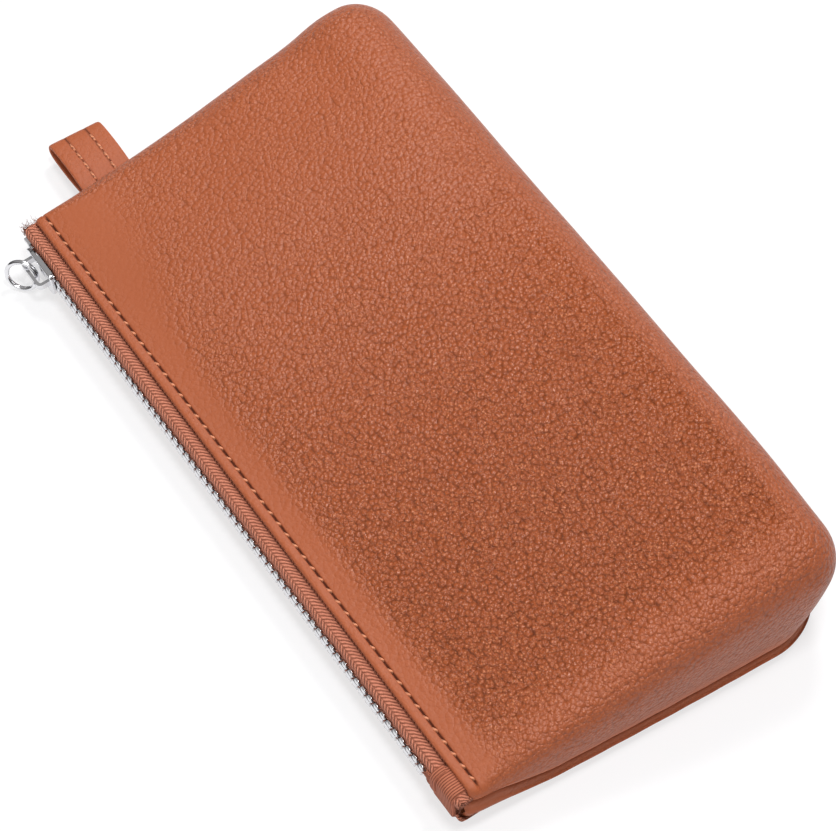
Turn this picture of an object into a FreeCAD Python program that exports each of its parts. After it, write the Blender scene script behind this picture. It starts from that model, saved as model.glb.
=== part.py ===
import FreeCAD, Part

import math
import os

import Sketcher
from FreeCAD import Placement, Rotation, Vector

# A soft leather pouch that lies on its lower panel, closed by a metal zip.
# X runs along the zip (closed end at -X), Y from the zip to the base and Z up.
# The origin is the middle of the underside, where the pouch rests.

DRIVING_SIZES = [
    # pouch
    ("length", 186.0),
    ("depth", 101.0),
    ("crown_height", 36.0),
    ("seam_height", 5.0),
    ("leather_thickness", 1.1),
    ("lining_thickness", 0.4),
    ("ply_gap", 0.15),
    ("base_flare", 5.0),
    ("base_corner_radius", 19.0),
    ("crown_corner_radius", 11.0),
    ("base_radius", 11.0),
    ("mouth_corner_radius", 4.0),
    ("underside_radius", 4.0),
    # folded leather edge along the zip
    ("hem_width", 5.0),
    ("hem_thickness", 1.8),
    ("hem_height_below", 0.15),
    # zip tape and chain
    ("chain_lean", 5.0),
    ("tape_thickness", 0.6),
    ("tape_reveal", 1.4),
    ("tape_slack", 0.5),
    ("upper_bend_radius", 1.3),
    ("lower_bend_radius", 0.8),
    ("cord_radius", 0.45),
    ("tooth_pitch", 2.54),
    ("tooth_width", 1.25),
    ("tooth_thickness", 2.2),
    ("tooth_reach", 2.9),
    ("tooth_head_taper", 0.7),
    ("tooth_head_chamfer", 0.5),
    ("tooth_grip_gap", 0.05),
    ("divider_gap", 0.8),
    ("closed_end_margin", 4.0),
    ("open_end_margin", 12.8),
    ("stop_width", 2.4),
    ("stop_lip", 0.4),
    ("end_tab_length", 8.6),
    ("end_tab_gap", 0.1),
    # slider and pull
    ("slider_length", 12.0),
    ("slider_nose_width", 5.0),
    ("slider_shoulder", 2.5),
    ("slider_tail_radius", 1.2),
    ("flange_width", 0.7),
    ("slider_plate", 0.9),
    ("slider_clearance", 0.2),
    ("flange_length", 8.0),
    ("flange_slot", 0.8),
    ("divider_thickness", 0.5),
    ("divider_setback", 0.6),
    ("divider_length", 2.4),
    ("crown_length", 9.0),
    ("crown_width", 1.8),
    ("crown_bar", 0.8),
    ("crown_window", 2.0),
    ("ring_radius", 3.9),
    ("ring_wire", 0.62),
    ("ring_rest_angle", 45.0),
    ("ring_twist", 30.0),
    # loop
    ("loop_width", 14.5),
    ("loop_reach", 20.5),
    ("loop_offset", 24.0),
    ("loop_strap", 1.3),
    ("loop_belly", 2.7),
    ("loop_gap_to_wall", 0.6),
    ("loop_tail", 7.0),
    ("loop_root_length", 3.0),
    ("loop_belly_place", 9.0),
    ("loop_gap_start", 4.5),
    ("loop_row_spacing", 6.1),
    # sewing
    ("thread_radius", 0.3),
    ("stitch_length", 2.6),
    ("stitch_pitch", 3.5),
    ("stitch_inset", 2.9),
    ("seam_stitch_pitch", 6.0),
]

PARTS_FOLDER = "parts"
TINY = 1e-6

doc = FreeCAD.newDocument("zip_pouch")
sheet = doc.addObject("Spreadsheet::Sheet", "Sizes")
for row, (alias, number) in enumerate(DRIVING_SIZES, start=1):
    sheet.set("A%d" % row, alias)
    sheet.set("B%d" % row, str(number))
    sheet.setAlias("B%d" % row, alias)
doc.recompute()

finished = []


def value(expression):
    """The number that a spreadsheet expression stands for now."""
    return float(sheet.evalExpression(bound(expression)))


def bound(expression):
    """Writes a size's plain name as the spreadsheet cell that holds it."""
    words = str(expression)
    out = []
    word = ""
    for letter in words + " ":
        if letter.isalnum() or letter == "_":
            word += letter
            continue
        out.append("Sizes." + word if word in ALIASES else word)
        out.append(letter)
        word = ""
    return "".join(out).strip()


ALIASES = {alias for alias, _ in DRIVING_SIZES}

# ---------------------------------------------------------------- derived places
# Everything below is an expression over the driving sizes.

HALF = "(length / 2)"
MOUTH_Y = "(-depth / 2)"
BASE_Y = "(depth / 2)"
CREST_Y = "(%s - base_radius)" % BASE_Y
HEM_INNER_Y = "(%s + hem_width)" % MOUTH_Y
HEM_LAP_Y = "(%s + ply_gap)" % HEM_INNER_Y
LINING_FRONT_Y = "(%s + 2 * ply_gap)" % HEM_INNER_Y
LOWER_HEM_TOP = "(hem_height_below + hem_thickness)"
TAPE_END_Y = "(%s - ply_gap)" % HEM_INNER_Y
TAPE_STRAIGHT = "(tooth_reach + tape_slack)"
CHAIN_START = "(closed_end_margin - %s)" % HALF
CHAIN_END = "(%s - open_end_margin)" % HALF
LEAN_SIN = "sin(chain_lean)"
LEAN_COS = "cos(chain_lean)"
LEAN_TAN = "tan(chain_lean)"
# Heights stack up from the lower hem: lower tape, chain, upper tape, upper hem.
LOWER_TAPE_Z = "(%s + ply_gap + tape_thickness / 2)" % LOWER_HEM_TOP
CHAIN_Z = "(%s + lower_bend_radius * (1 - %s) + %s * %s)" % (
    LOWER_TAPE_Z, LEAN_SIN, TAPE_STRAIGHT, LEAN_COS)
UPPER_TAPE_Z = "(%s + upper_bend_radius * (1 + %s) + %s * %s)" % (
    CHAIN_Z, LEAN_SIN, TAPE_STRAIGHT, LEAN_COS)
MOUTH_TOP = "(%s + tape_thickness / 2 + ply_gap + hem_thickness)" % UPPER_TAPE_Z
CHAIN_Y = "(%s - tape_reveal - upper_bend_radius * %s + %s * %s)" % (
    MOUTH_Y, LEAN_COS, TAPE_STRAIGHT, LEAN_SIN)
SLIDER_INNER = "(tooth_thickness / 2 + slider_clearance)"
SLIDER_OUTER = "(%s + slider_plate)" % SLIDER_INNER
SLIDER_HALF = "(tooth_reach + slider_clearance + flange_width)"
SLIDER_X = "(%s + slider_length / 2)" % CHAIN_START
RING_DEPTH = "(%s + crown_window / 2)" % SLIDER_OUTER


def half_at(y):
    """Half the pouch's length at a place between the zip and the wider base."""
    return "(%s + base_flare * (%s - %s) / depth)" % (HALF, y, MOUTH_Y)


def chain_point(outward, up):
    """Y and Z of a point given in the chain's own leaning plane."""
    y = "(%s - (%s) * %s - (%s) * %s)" % (CHAIN_Y, outward, LEAN_COS, up, LEAN_SIN)
    z = "(%s - (%s) * %s + (%s) * %s)" % (CHAIN_Z, outward, LEAN_SIN, up, LEAN_COS)
    return y, z


def chain_y_at_height(outward, height):
    """Y where a plane parallel to the chain's meets a height."""
    return "(%s - ((%s) - %s) * %s - (%s) / %s)" % (
        CHAIN_Y, height, CHAIN_Z, LEAN_TAN, outward, LEAN_COS)


# ---------------------------------------------------------------- modelling helpers

def new_body(label):
    """A PartDesign body that becomes one sub-part."""
    body = doc.addObject("PartDesign::Body", label)
    body.Label = label
    finished.append(body)
    return body


def origin_plane(body, role):
    """One of the body's own origin planes."""
    for feature in body.Origin.OriginFeatures:
        if feature.Role == role:
            return feature
    raise ValueError(role)


def corner_arc(before, corner, after, radius):
    """Tangent points and centre of the arc that rounds a corner."""
    to_before = (before - corner).normalize()
    to_after = (after - corner).normalize()
    half_angle = to_before.getAngle(to_after) / 2
    reach = radius / math.tan(half_angle)
    middle = (to_before + to_after).normalize()
    centre = corner + middle * (radius / math.sin(half_angle))
    return corner + to_before * reach, corner + to_after * reach, centre


def ccw_arc(start, end, centre):
    """The short arc from start to end about centre, and whether it runs backwards."""
    first = start - centre
    last = end - centre
    backwards = first.cross(last).z < 0
    if backwards:
        first, last = last, first
    circle = Part.Circle(centre, Vector(0, 0, 1), first.Length)
    begin = math.atan2(first.y, first.x)
    finish = math.atan2(last.y, last.x)
    return Part.ArcOfCircle(circle, begin, finish), backwards


def pin_point(sketch, geometry, place, corner):
    """Binds one point's two coordinates to expressions."""
    for kind, expression in zip(("DistanceX", "DistanceY"), corner):
        here = value(expression)
        index = sketch.addConstraint(Sketcher.Constraint(kind, geometry, place, here))
        sketch.setExpression("Constraints[%d]" % index, bound(expression))


def outline(body, name, role, corners, offset="0"):
    """A closed sketch through the corners; a third value rounds its corner."""
    sketch = body.newObject("Sketcher::SketchObject", name)
    sketch.AttachmentSupport = [(origin_plane(body, role), "")]
    sketch.MapMode = "FlatFace"
    sketch.setExpression("AttachmentOffset.Base.z", bound(offset))
    points = [Vector(value(c[0]), value(c[1]), 0) for c in corners]
    count = len(corners)
    leave = []
    arrive = []
    arcs = []
    for i, corner in enumerate(corners):
        if len(corner) == 2:
            leave.append(points[i])
            arrive.append(points[i])
            arcs.append(None)
            continue
        entry, way_out, centre = corner_arc(
            points[i - 1], points[i], points[(i + 1) % count], value(corner[2]))
        arrive.append(entry)
        leave.append(way_out)
        arcs.append(centre)
    sides = []
    for i in range(count):
        line = Part.LineSegment(leave[i], arrive[(i + 1) % count])
        sides.append(sketch.addGeometry(line, False))
    for i, corner in enumerate(corners):
        before = sides[i - 1]
        after = sides[i]
        if arcs[i] is None:
            sketch.addConstraint(Sketcher.Constraint("Coincident", before, 2, after, 1))
            pin_point(sketch, after, 1, corner)
            continue
        arc, backwards = ccw_arc(arrive[i], leave[i], arcs[i])
        first, last = (2, 1) if backwards else (1, 2)
        rounded = sketch.addGeometry(arc, False)
        mark = sketch.addGeometry(Part.Point(points[i]), True)
        pin_point(sketch, mark, 1, corner)
        sketch.addConstraint(Sketcher.Constraint("PointOnObject", mark, 1, before))
        sketch.addConstraint(Sketcher.Constraint("PointOnObject", mark, 1, after))
        sketch.addConstraint(Sketcher.Constraint("Tangent", before, 2, rounded, first))
        sketch.addConstraint(Sketcher.Constraint("Tangent", rounded, last, after, 1))
        index = sketch.addConstraint(
            Sketcher.Constraint("Radius", rounded, value(corner[2])))
        sketch.setExpression("Constraints[%d]" % index, bound(corner[2]))
    doc.recompute()
    return sketch


def pad(body, sketch, length, midplane=False):
    """Extrudes a sketch along its plane's normal, or evenly to both sides."""
    feature = body.newObject("PartDesign::Pad", sketch.Name + "_pad")
    feature.Profile = sketch
    feature.setExpression("Length", bound(length))
    feature.Midplane = midplane
    sketch.Visibility = False
    doc.recompute()
    return feature


def pocket_through(body, sketch):
    """Cuts a sketch through the whole body to both sides."""
    before = body.Shape.Volume
    feature = body.newObject("PartDesign::Pocket", sketch.Name + "_pocket")
    feature.Profile = sketch
    feature.Type = 1
    feature.Midplane = True
    doc.recompute()
    if body.Shape.Volume > before - TINY:
        raise RuntimeError(body.Label + ": the pocket cuts nothing")
    return feature


def loft(body, sections, kind):
    """A loft through the section sketches, added or taken away."""
    feature = body.newObject("PartDesign::" + kind, body.Label + "_" + kind)
    feature.Profile = sections[0]
    feature.Sections = sections[1:]
    feature.Ruled = True
    doc.recompute()
    return feature


def fillet(body, base, edges, radius):
    """Rounds the listed edges of the body's last feature."""
    feature = body.newObject("PartDesign::Fillet", body.Label + "_fillet")
    feature.Base = (base, edges)
    feature.setExpression("Radius", bound(radius))
    doc.recompute()
    return feature


def group_of_solids(label, solids):
    """One node that holds separate equal solids."""
    feature = doc.addObject("Part::Feature", label)
    feature.Label = label
    feature.Shape = Part.makeCompound(solids)
    finished.append(feature)
    return feature


def lean_with_chain(feature, along="0"):
    """Places a piece that was modelled in the chain's own plane."""
    feature.Placement = Placement(
        Vector(value(along), value(CHAIN_Y), value(CHAIN_Z)),
        Rotation(Vector(1, 0, 0), value("chain_lean")))
    feature.setExpression("Placement.Base.x", bound(along))
    feature.setExpression("Placement.Base.y", bound(CHAIN_Y))
    feature.setExpression("Placement.Base.z", bound(CHAIN_Z))
    feature.setExpression("Placement.Rotation.Angle", bound("chain_lean"))


# ---------------------------------------------------------------- panels and linings

RISE_STEPS = 6
BASE_TURNS = (20, 40, 60, 80)
# The dome rises almost straight from the zip and levels off only at the base.
LEVELLING_POWER = 10


def climb_at(y):
    """Share of the dome's rise that is reached at a place behind the folded edge."""
    share = "min(1; (%s - %s) / (%s - %s))" % (y, HEM_INNER_Y, CREST_Y, HEM_INNER_Y)
    return "((%d * %s - (%s) ^ %d) / %d)" % (
        LEVELLING_POWER, share, share, LEVELLING_POWER, LEVELLING_POWER - 1)


def corner_setback(radius, setback):
    """How far a rounded corner stands back from the side, at a distance from its end."""
    return "(%s - sqrt(%s ^ 2 - max(0; %s - %s) ^ 2))" % (radius, radius, radius, setback)


def dome_stations(inset):
    """Y, half lengths at the seam and the top, top and corner radius of each cross-section."""
    stations = []
    corner = "(base_corner_radius - %s)" % inset
    crown_corner = "(crown_corner_radius - %s)" % inset
    fall = "(base_radius - %s)" % inset
    for step in range(RISE_STEPS + 1):
        share = step / RISE_STEPS
        y = "(%s + (depth - hem_width - base_corner_radius) * %g)" % (HEM_INNER_Y, share)
        top = "(%s + (crown_height - %s) * %s - %s)" % (MOUTH_TOP, MOUTH_TOP, climb_at(y), inset)
        radius = "(mouth_corner_radius + (base_radius - mouth_corner_radius) * %s - %s)" % (
            climb_at(y), inset)
        half = "(%s - %s)" % (half_at(y), inset)
        stations.append((y, half, half, top, radius))
    for turn in BASE_TURNS:
        setback = "(%s * (1 - sin(%g)))" % (corner, turn)
        y = "(%s - %s - %s)" % (BASE_Y, inset, setback)
        top = "(%s + (crown_height - %s) * %s - %s - %s)" % (
            MOUTH_TOP, MOUTH_TOP, climb_at(y), inset, corner_setback(fall, setback))
        low_half = "(%s - %s - %s * (1 - cos(%g)))" % (half_at(y), inset, corner, turn)
        high_half = "(%s - %s - %s)" % (half_at(y), inset, corner_setback(crown_corner, setback))
        stations.append((y, low_half, high_half, top, "(%s * cos(%g))" % (fall, turn)))
    return stations


def dome_sections(body, name, inset, floor, front):
    """Arched cross-sections of the dome, from its front to the base."""
    sections = []
    for number, (y, low_half, high_half, top, radius) in enumerate(dome_stations(inset)):
        if number == 0:
            y = front
        corners = [
            ("-" + low_half, floor),
            (low_half, floor),
            (high_half, top, radius),
            ("-" + high_half, top, radius),
        ]
        sections.append(outline(
            body, "%s_%d" % (name, number), "XZ_Plane", corners, "-(%s)" % y))
    return sections


def make_dome_shell(label, inset, thickness, front):
    """A domed shell, open underneath and towards the zip."""
    body = new_body(label)
    outer = dome_sections(body, label + "_outer", inset, "seam_height", front)
    loft(body, outer, "AdditiveLoft")
    inside = "(%s + %s)" % (inset, thickness)
    reach = "(%s - 1)" % front
    inner = dome_sections(body, label + "_inner", inside, "(seam_height - 1)", reach)
    loft(body, inner, "SubtractiveLoft")
    return body


def make_upper_panel():
    """The upper leather: the dome and the folded edge above the zip."""
    body = make_dome_shell("upper_panel", "0", "leather_thickness", HEM_INNER_Y)
    hem_bottom = "(%s - hem_thickness)" % MOUTH_TOP
    corners = [
        (MOUTH_Y, hem_bottom, "hem_thickness * 0.45"),
        (HEM_LAP_Y, hem_bottom),
        (HEM_LAP_Y, MOUTH_TOP),
        (MOUTH_Y, MOUTH_TOP, "hem_thickness * 0.45"),
    ]
    pad(body, outline(body, "upper_hem", "YZ_Plane", corners), "length", True)
    return body


def plan_corners(inset, front):
    """The pouch's plan: straight at the zip, wider and rounded at the base."""
    radius = "(base_corner_radius - %s)" % inset
    back = "(%s - %s)" % (BASE_Y, inset)
    front_half = "(%s - %s)" % (half_at(front), inset)
    back_half = "(%s - %s)" % (half_at(back), inset)
    return [
        ("-" + front_half, front),
        (front_half, front),
        (back_half, back, radius),
        ("-" + back_half, back, radius),
    ]


def make_tray_shell(label, inset, thickness, front_y):
    """A shallow tray, open on top and towards the zip."""
    body = new_body(label)
    plan = outline(body, label + "_plan", "XY_Plane", plan_corners(inset, front_y), inset)
    solid = pad(body, plan, "seam_height - %s" % inset)
    floor = value(inset)
    front = value(front_y)
    edges = []
    for number, edge in enumerate(solid.Shape.Edges, start=1):
        box = edge.BoundBox
        if abs(box.ZMax - floor) < TINY and box.YMax > front + TINY:
            edges.append("Edge%d" % number)
    rounded = fillet(body, solid, edges, "underside_radius - %s" % inset)
    faces = []
    for number, face in enumerate(rounded.Shape.Faces, start=1):
        box = face.BoundBox
        on_top = box.ZMin > value("seam_height") - TINY
        at_zip = box.YMax < front + TINY
        if on_top or at_zip:
            faces.append("Face%d" % number)
    shell = body.newObject("PartDesign::Thickness", label + "_shell")
    shell.Base = (rounded, faces)
    shell.setExpression("Value", bound(thickness))
    shell.Reversed = True
    doc.recompute()
    return body


def make_lower_panel():
    """The lower leather: the tray and the folded edge under the zip."""
    body = make_tray_shell("lower_panel", "0", "leather_thickness", HEM_INNER_Y)
    corners = [
        (MOUTH_Y, "hem_height_below", "hem_thickness * 0.45"),
        (HEM_LAP_Y, "hem_height_below"),
        (HEM_LAP_Y, LOWER_HEM_TOP),
        (MOUTH_Y, LOWER_HEM_TOP, "hem_thickness * 0.45"),
    ]
    pad(body, outline(body, "lower_hem", "YZ_Plane", corners), "length", True)
    return body


LINING_INSET = "(leather_thickness + ply_gap)"


def make_linings():
    """The two fabric linings, each just inside its leather."""
    make_dome_shell("upper_lining", LINING_INSET, "lining_thickness", LINING_FRONT_Y)
    make_tray_shell("lower_lining", LINING_INSET, "lining_thickness", LINING_FRONT_Y)


# ---------------------------------------------------------------- zip

TAPE_EDGE = "(tooth_reach - cord_radius * 2)"


def make_upper_tape():
    """The upper tape: out from under the hem, over the bend, down to the teeth."""
    body = new_body("upper_tape")
    half = "(tape_thickness / 2)"
    above = "(%s + %s)" % (UPPER_TAPE_Z, half)
    below = "(%s - %s)" % (UPPER_TAPE_Z, half)
    corners = [
        (TAPE_END_Y, below),
        (TAPE_END_Y, above),
        (chain_y_at_height(half, above), above, "(upper_bend_radius + %s)" % half),
        chain_point(half, TAPE_EDGE),
        chain_point("-" + half, TAPE_EDGE),
        (chain_y_at_height("-" + half, below), below, "(upper_bend_radius - %s)" % half),
    ]
    pad(body, outline(body, "upper_tape_section", "YZ_Plane", corners), "length", True)


def make_lower_tape():
    """The lower tape: down from the teeth and back in over the lower hem."""
    body = new_body("lower_tape")
    half = "(tape_thickness / 2)"
    above = "(%s + %s)" % (LOWER_TAPE_Z, half)
    below = "(%s - %s)" % (LOWER_TAPE_Z, half)
    corners = [
        (TAPE_END_Y, above),
        (TAPE_END_Y, below),
        (chain_y_at_height(half, below), below, "(lower_bend_radius + %s)" % half),
        chain_point(half, "-" + TAPE_EDGE),
        chain_point("-" + half, "-" + TAPE_EDGE),
        (chain_y_at_height("-" + half, above), above, "(lower_bend_radius - %s)" % half),
    ]
    pad(body, outline(body, "lower_tape_section", "YZ_Plane", corners), "length", True)


def make_cord(label, side):
    """The round cord woven into a tape's edge, which the teeth grip."""
    cord = doc.addObject("Part::Cylinder", label)
    cord.Label = label
    cord.setExpression("Radius", bound("cord_radius"))
    cord.setExpression("Height", bound("%s - %s" % (CHAIN_END, CHAIN_START)))
    y, z = chain_point("0", "%d * (%s - cord_radius)" % (side, TAPE_EDGE))
    cord.Placement = Placement(Vector(0, 0, 0), Rotation(Vector(0, 1, 0), 90))
    cord.setExpression("Placement.Base.x", bound(CHAIN_START))
    cord.setExpression("Placement.Base.y", bound(y))
    cord.setExpression("Placement.Base.z", bound(z))
    finished.append(cord)


def make_tooth():
    """One metal tooth: two legs over the tape's cord and a chamfered head."""
    body = doc.addObject("PartDesign::Body", "single_tooth")
    half = "(tooth_thickness / 2)"
    head = "(divider_gap / 2)"
    grip = "(cord_radius + tooth_grip_gap)"
    shoulder = "(%s + tooth_head_taper)" % head
    crest = "(%s - tooth_head_chamfer)" % half
    seat = "(%s - cord_radius * 2)" % TAPE_EDGE
    corners = [
        ("-" + half, "tooth_reach", "0.2"),
        ("-" + half, shoulder, "0.3"),
        ("-" + crest, head, "0.3"),
        (crest, head, "0.3"),
        (half, shoulder, "0.3"),
        (half, "tooth_reach", "0.2"),
        (grip, "tooth_reach"),
        (grip, seat),
        ("-" + grip, seat),
        ("-" + grip, "tooth_reach"),
    ]
    pad(body, outline(body, "tooth_section", "YZ_Plane", corners), "tooth_width", True)
    return body


def make_teeth():
    """Both rows of teeth, a half pitch out of step with each other."""
    tooth = make_tooth()
    pitch = value("tooth_pitch")
    last = value("%s - tooth_width / 2" % CHAIN_END)
    start = value("%s + tooth_width / 2" % CHAIN_START)
    count = int((last - start) / pitch)
    upper = []
    lower = []
    for number in range(count + 1):
        shape = tooth.Shape.copy()
        shape.translate(Vector(start + number * pitch, 0, 0))
        upper.append(shape)
        if number == count:
            break
        shape = tooth.Shape.copy()
        shape.rotate(Vector(0, 0, 0), Vector(1, 0, 0), 180)
        shape.translate(Vector(start + (number + 0.5) * pitch, 0, 0))
        lower.append(shape)
    lean_with_chain(group_of_solids("upper_teeth", upper))
    lean_with_chain(group_of_solids("lower_teeth", lower))


def make_stops():
    """The top stops beyond the slider and the bar that ends the chain."""
    solids = []
    width = value("stop_width")
    thickness = value("tooth_thickness")
    reach = value("tooth_reach")
    edge = value(TAPE_EDGE)
    tape = value("tape_thickness")
    lip = value("stop_lip")
    left = value(CHAIN_START) - width - value("ply_gap")
    for side in (1, -1):
        corner = Vector(left, -thickness / 2, edge - lip)
        clip = Part.makeBox(width, thickness, reach - edge + lip, corner)
        slot = Part.makeBox(width, tape, reach, Vector(left, -tape / 2, edge))
        clip = clip.cut(slot)
        if side < 0:
            clip.rotate(Vector(0, 0, 0), Vector(1, 0, 0), 180)
        solids.append(clip)
    lean_with_chain(group_of_solids("top_stops", solids))


def make_bottom_stop():
    """The sewn bar that holds both tapes together past the last tooth."""
    width = value("stop_width")
    thickness = value("tooth_thickness - stop_lip")
    reach = value("tooth_reach")
    tape = value("tape_thickness")
    edge = value(TAPE_EDGE)
    left = value("%s + ply_gap" % CHAIN_END)
    bar = Part.makeBox(width, thickness, 2 * reach, Vector(left, -thickness / 2, -reach))
    for low in (edge, -reach):
        slot = Part.makeBox(width, tape, reach - edge, Vector(left, -tape / 2, low))
        bar = bar.cut(slot)
    feature = doc.addObject("Part::Feature", "bottom_stop")
    feature.Label = "bottom_stop"
    feature.Shape = bar
    finished.append(feature)
    lean_with_chain(feature)


def make_end_tab():
    """The ribbed ribbon folded over the zip's open end."""
    body = new_body("zip_end_tab")
    inner = "(tape_thickness / 2 + end_tab_gap)"
    outer = "(%s + tape_thickness)" % inner
    start = "(%s - ply_gap)" % MOUTH_Y
    top_in = "(%s + %s)" % (UPPER_TAPE_Z, inner)
    top_out = "(%s + %s)" % (UPPER_TAPE_Z, outer)
    low_in = "(%s - %s)" % (LOWER_TAPE_Z, inner)
    low_out = "(%s - %s)" % (LOWER_TAPE_Z, outer)
    corners = [
        (start, top_in),
        (start, top_out),
        (chain_y_at_height(outer, top_out), top_out, "(upper_bend_radius + %s)" % outer),
        (chain_y_at_height(outer, low_out), low_out, "(lower_bend_radius + %s)" % outer),
        (start, low_out),
        (start, low_in),
        (chain_y_at_height(inner, low_in), low_in, "(lower_bend_radius + %s)" % inner),
        (chain_y_at_height(inner, top_in), top_in, "(upper_bend_radius + %s)" % inner),
    ]
    from_x = "(%s + stop_width + 2 * ply_gap)" % CHAIN_END
    pad(body, outline(body, "end_tab_section", "YZ_Plane", corners, from_x), "end_tab_length")


# ---------------------------------------------------------------- slider and pull

def plate(body, name, corners, start, thickness):
    """A flat pad in the chain's plane, from a depth outwards."""
    return pad(body, outline(body, name, "XZ_Plane", corners, start), thickness)


def block(left, right, low, high):
    """Four corners of a plain rectangle."""
    return [(left, low), (right, low), (right, high), (left, high)]


def make_slider():
    """Two plates joined by the divider, with flanges that lap the teeth."""
    body = new_body("slider_body")
    nose = "(-slider_length / 2)"
    tail = "(slider_length / 2)"
    shoulder = "(%s + slider_shoulder)" % nose
    half = SLIDER_HALF
    plan = [
        (nose, "(-slider_nose_width / 2)", "0.8"),
        (shoulder, "-" + half, "2"),
        (tail, "-" + half, "slider_tail_radius"),
        (tail, half, "slider_tail_radius"),
        (shoulder, half, "2"),
        (nose, "(slider_nose_width / 2)", "0.8"),
    ]
    post_start = "(%s + divider_setback)" % nose
    post = block(post_start, "(%s + divider_length)" % post_start,
                 "(-divider_thickness / 2)", "(divider_thickness / 2)")
    plate(body, "outer_plate", plan, SLIDER_INNER, "slider_plate")
    plate(body, "divider", post, "-" + SLIDER_INNER, "2 * " + SLIDER_INNER)
    plate(body, "inner_plate", plan, "-" + SLIDER_OUTER, "slider_plate")
    root = "(tooth_reach + slider_clearance)"
    depth = "(%s - flange_slot)" % SLIDER_INNER
    start = "(%s - flange_length)" % tail
    end = "(%s - slider_tail_radius)" % tail
    for side, sign in (("upper", ""), ("lower", "-")):
        strip = block(start, end, sign + root, sign + half)
        plate(body, side + "_outer_flange", strip, "flange_slot", depth)
        plate(body, side + "_inner_flange", strip, "-" + SLIDER_INNER, depth)
    base = body.Tip
    outside = value(SLIDER_OUTER)
    edges = []
    for number, edge in enumerate(base.Shape.Edges, start=1):
        box = edge.BoundBox
        flat = box.YMax - box.YMin < TINY
        if flat and abs(abs(box.YMin) - outside) < TINY:
            edges.append("Edge%d" % number)
    fillet(body, base, edges, "slider_plate * 0.4")
    lean_with_chain(body, SLIDER_X)


def make_slider_crown():
    """The bridge over the slider that the pull hangs in."""
    body = new_body("slider_crown")
    half = "(crown_length / 2)"
    foot = "(%s - crown_bar)" % half
    roof = "(%s + crown_window)" % SLIDER_OUTER
    top = "(%s + crown_bar)" % roof
    corners = [
        ("-" + half, "-" + SLIDER_OUTER),
        ("-" + half, "-" + top, "1.2"),
        (half, "-" + top, "1.2"),
        (half, "-" + SLIDER_OUTER),
        (foot, "-" + SLIDER_OUTER),
        (foot, "-" + roof, "0.5"),
        ("-" + foot, "-" + roof, "0.5"),
        ("-" + foot, "-" + SLIDER_OUTER),
    ]
    pad(body, outline(body, "crown_side", "XY_Plane", corners), "crown_width", True)
    lean_with_chain(body, SLIDER_X)


def make_pull_ring():
    """The round wire ring that hangs through the crown's window."""
    ring = doc.addObject("Part::Torus", "pull_ring")
    ring.Label = "pull_ring"
    ring.setExpression("Radius1", bound("ring_radius"))
    ring.setExpression("Radius2", bound("ring_wire"))
    lean = Rotation(Vector(1, 0, 0), value("chain_lean"))
    twist = Rotation(Vector(0, 1, 0), -value("ring_twist"))
    swing = Rotation(Vector(0, 0, 1), value("ring_rest_angle"))
    upright = Rotation(Vector(1, 0, 0), 90)
    window = Vector(0, -value(RING_DEPTH), 0)
    reach = (twist * swing).multVec(Vector(-value("ring_radius"), 0, 0))
    chain = Vector(value(SLIDER_X), value(CHAIN_Y), value(CHAIN_Z))
    turned = lean * twist * swing * upright
    ring.Placement = Placement(chain + lean.multVec(window + reach), turned)
    finished.append(ring)


# ---------------------------------------------------------------- loop

LOOP_Y = "(%s + loop_offset)" % MOUTH_Y
LOOP_WALL = half_at(LOOP_Y)
LOOP_ROOT = "(-%s - loop_gap_to_wall)" % LOOP_WALL
LOOP_TIP = "(-%s - loop_reach)" % LOOP_WALL


def loop_profile():
    """Half heights of the folded strap at its root, belly and tip."""
    return [
        (LOOP_ROOT, "loop_strap"),
        ("(%s - loop_root_length)" % LOOP_ROOT, "loop_strap"),
        ("(%s - loop_belly_place)" % LOOP_ROOT, "loop_belly"),
        (LOOP_TIP, "(loop_belly * 0.75)"),
    ]


def make_loop_strap():
    """The strap folded back on itself, open between its two legs."""
    body = new_body("loop_strap")
    radii = ["loop_strap * 0.92", "4", "8", "loop_belly * 0.6"]
    corners = []
    for (x, reach), radius in zip(loop_profile(), radii):
        corners.append((x, "(seam_height - %s)" % reach, radius))
    for (x, reach), radius in reversed(list(zip(loop_profile(), radii))):
        corners.append((x, "(seam_height + %s)" % reach, radius))
    side = outline(body, "loop_side", "XZ_Plane", corners, "-" + LOOP_Y)
    pad(body, side, "loop_width", True)
    belly = "(loop_belly - loop_strap)"
    end = "(loop_belly * 0.75 - loop_strap * 0.75)"
    gap = [
        ("(%s - loop_gap_start)" % LOOP_ROOT, "seam_height"),
        ("(%s - loop_belly_place)" % LOOP_ROOT, "(seam_height - %s)" % belly, "6"),
        ("(%s + loop_strap)" % LOOP_TIP, "(seam_height - %s)" % end, "%s * 0.6" % end),
        ("(%s + loop_strap)" % LOOP_TIP, "(seam_height + %s)" % end, "%s * 0.6" % end),
        ("(%s - loop_belly_place)" % LOOP_ROOT, "(seam_height + %s)" % belly, "6"),
    ]
    pocket_through(body, outline(body, "loop_gap", "XZ_Plane", gap, "-" + LOOP_Y))


def make_loop_tail():
    """The strap's two ends, sewn in between the panels."""
    tail = doc.addObject("Part::Box", "loop_tail")
    tail.Label = "loop_tail"
    tail.setExpression("Length", bound("loop_tail"))
    tail.setExpression("Width", bound("loop_width"))
    tail.setExpression("Height", bound("2 * loop_strap"))
    tail.setExpression("Placement.Base.x", bound("-" + LOOP_WALL))
    tail.setExpression("Placement.Base.y", bound("%s - loop_width / 2" % LOOP_Y))
    tail.setExpression("Placement.Base.z", bound("seam_height - loop_strap"))
    finished.append(tail)


# ---------------------------------------------------------------- sewing

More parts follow.
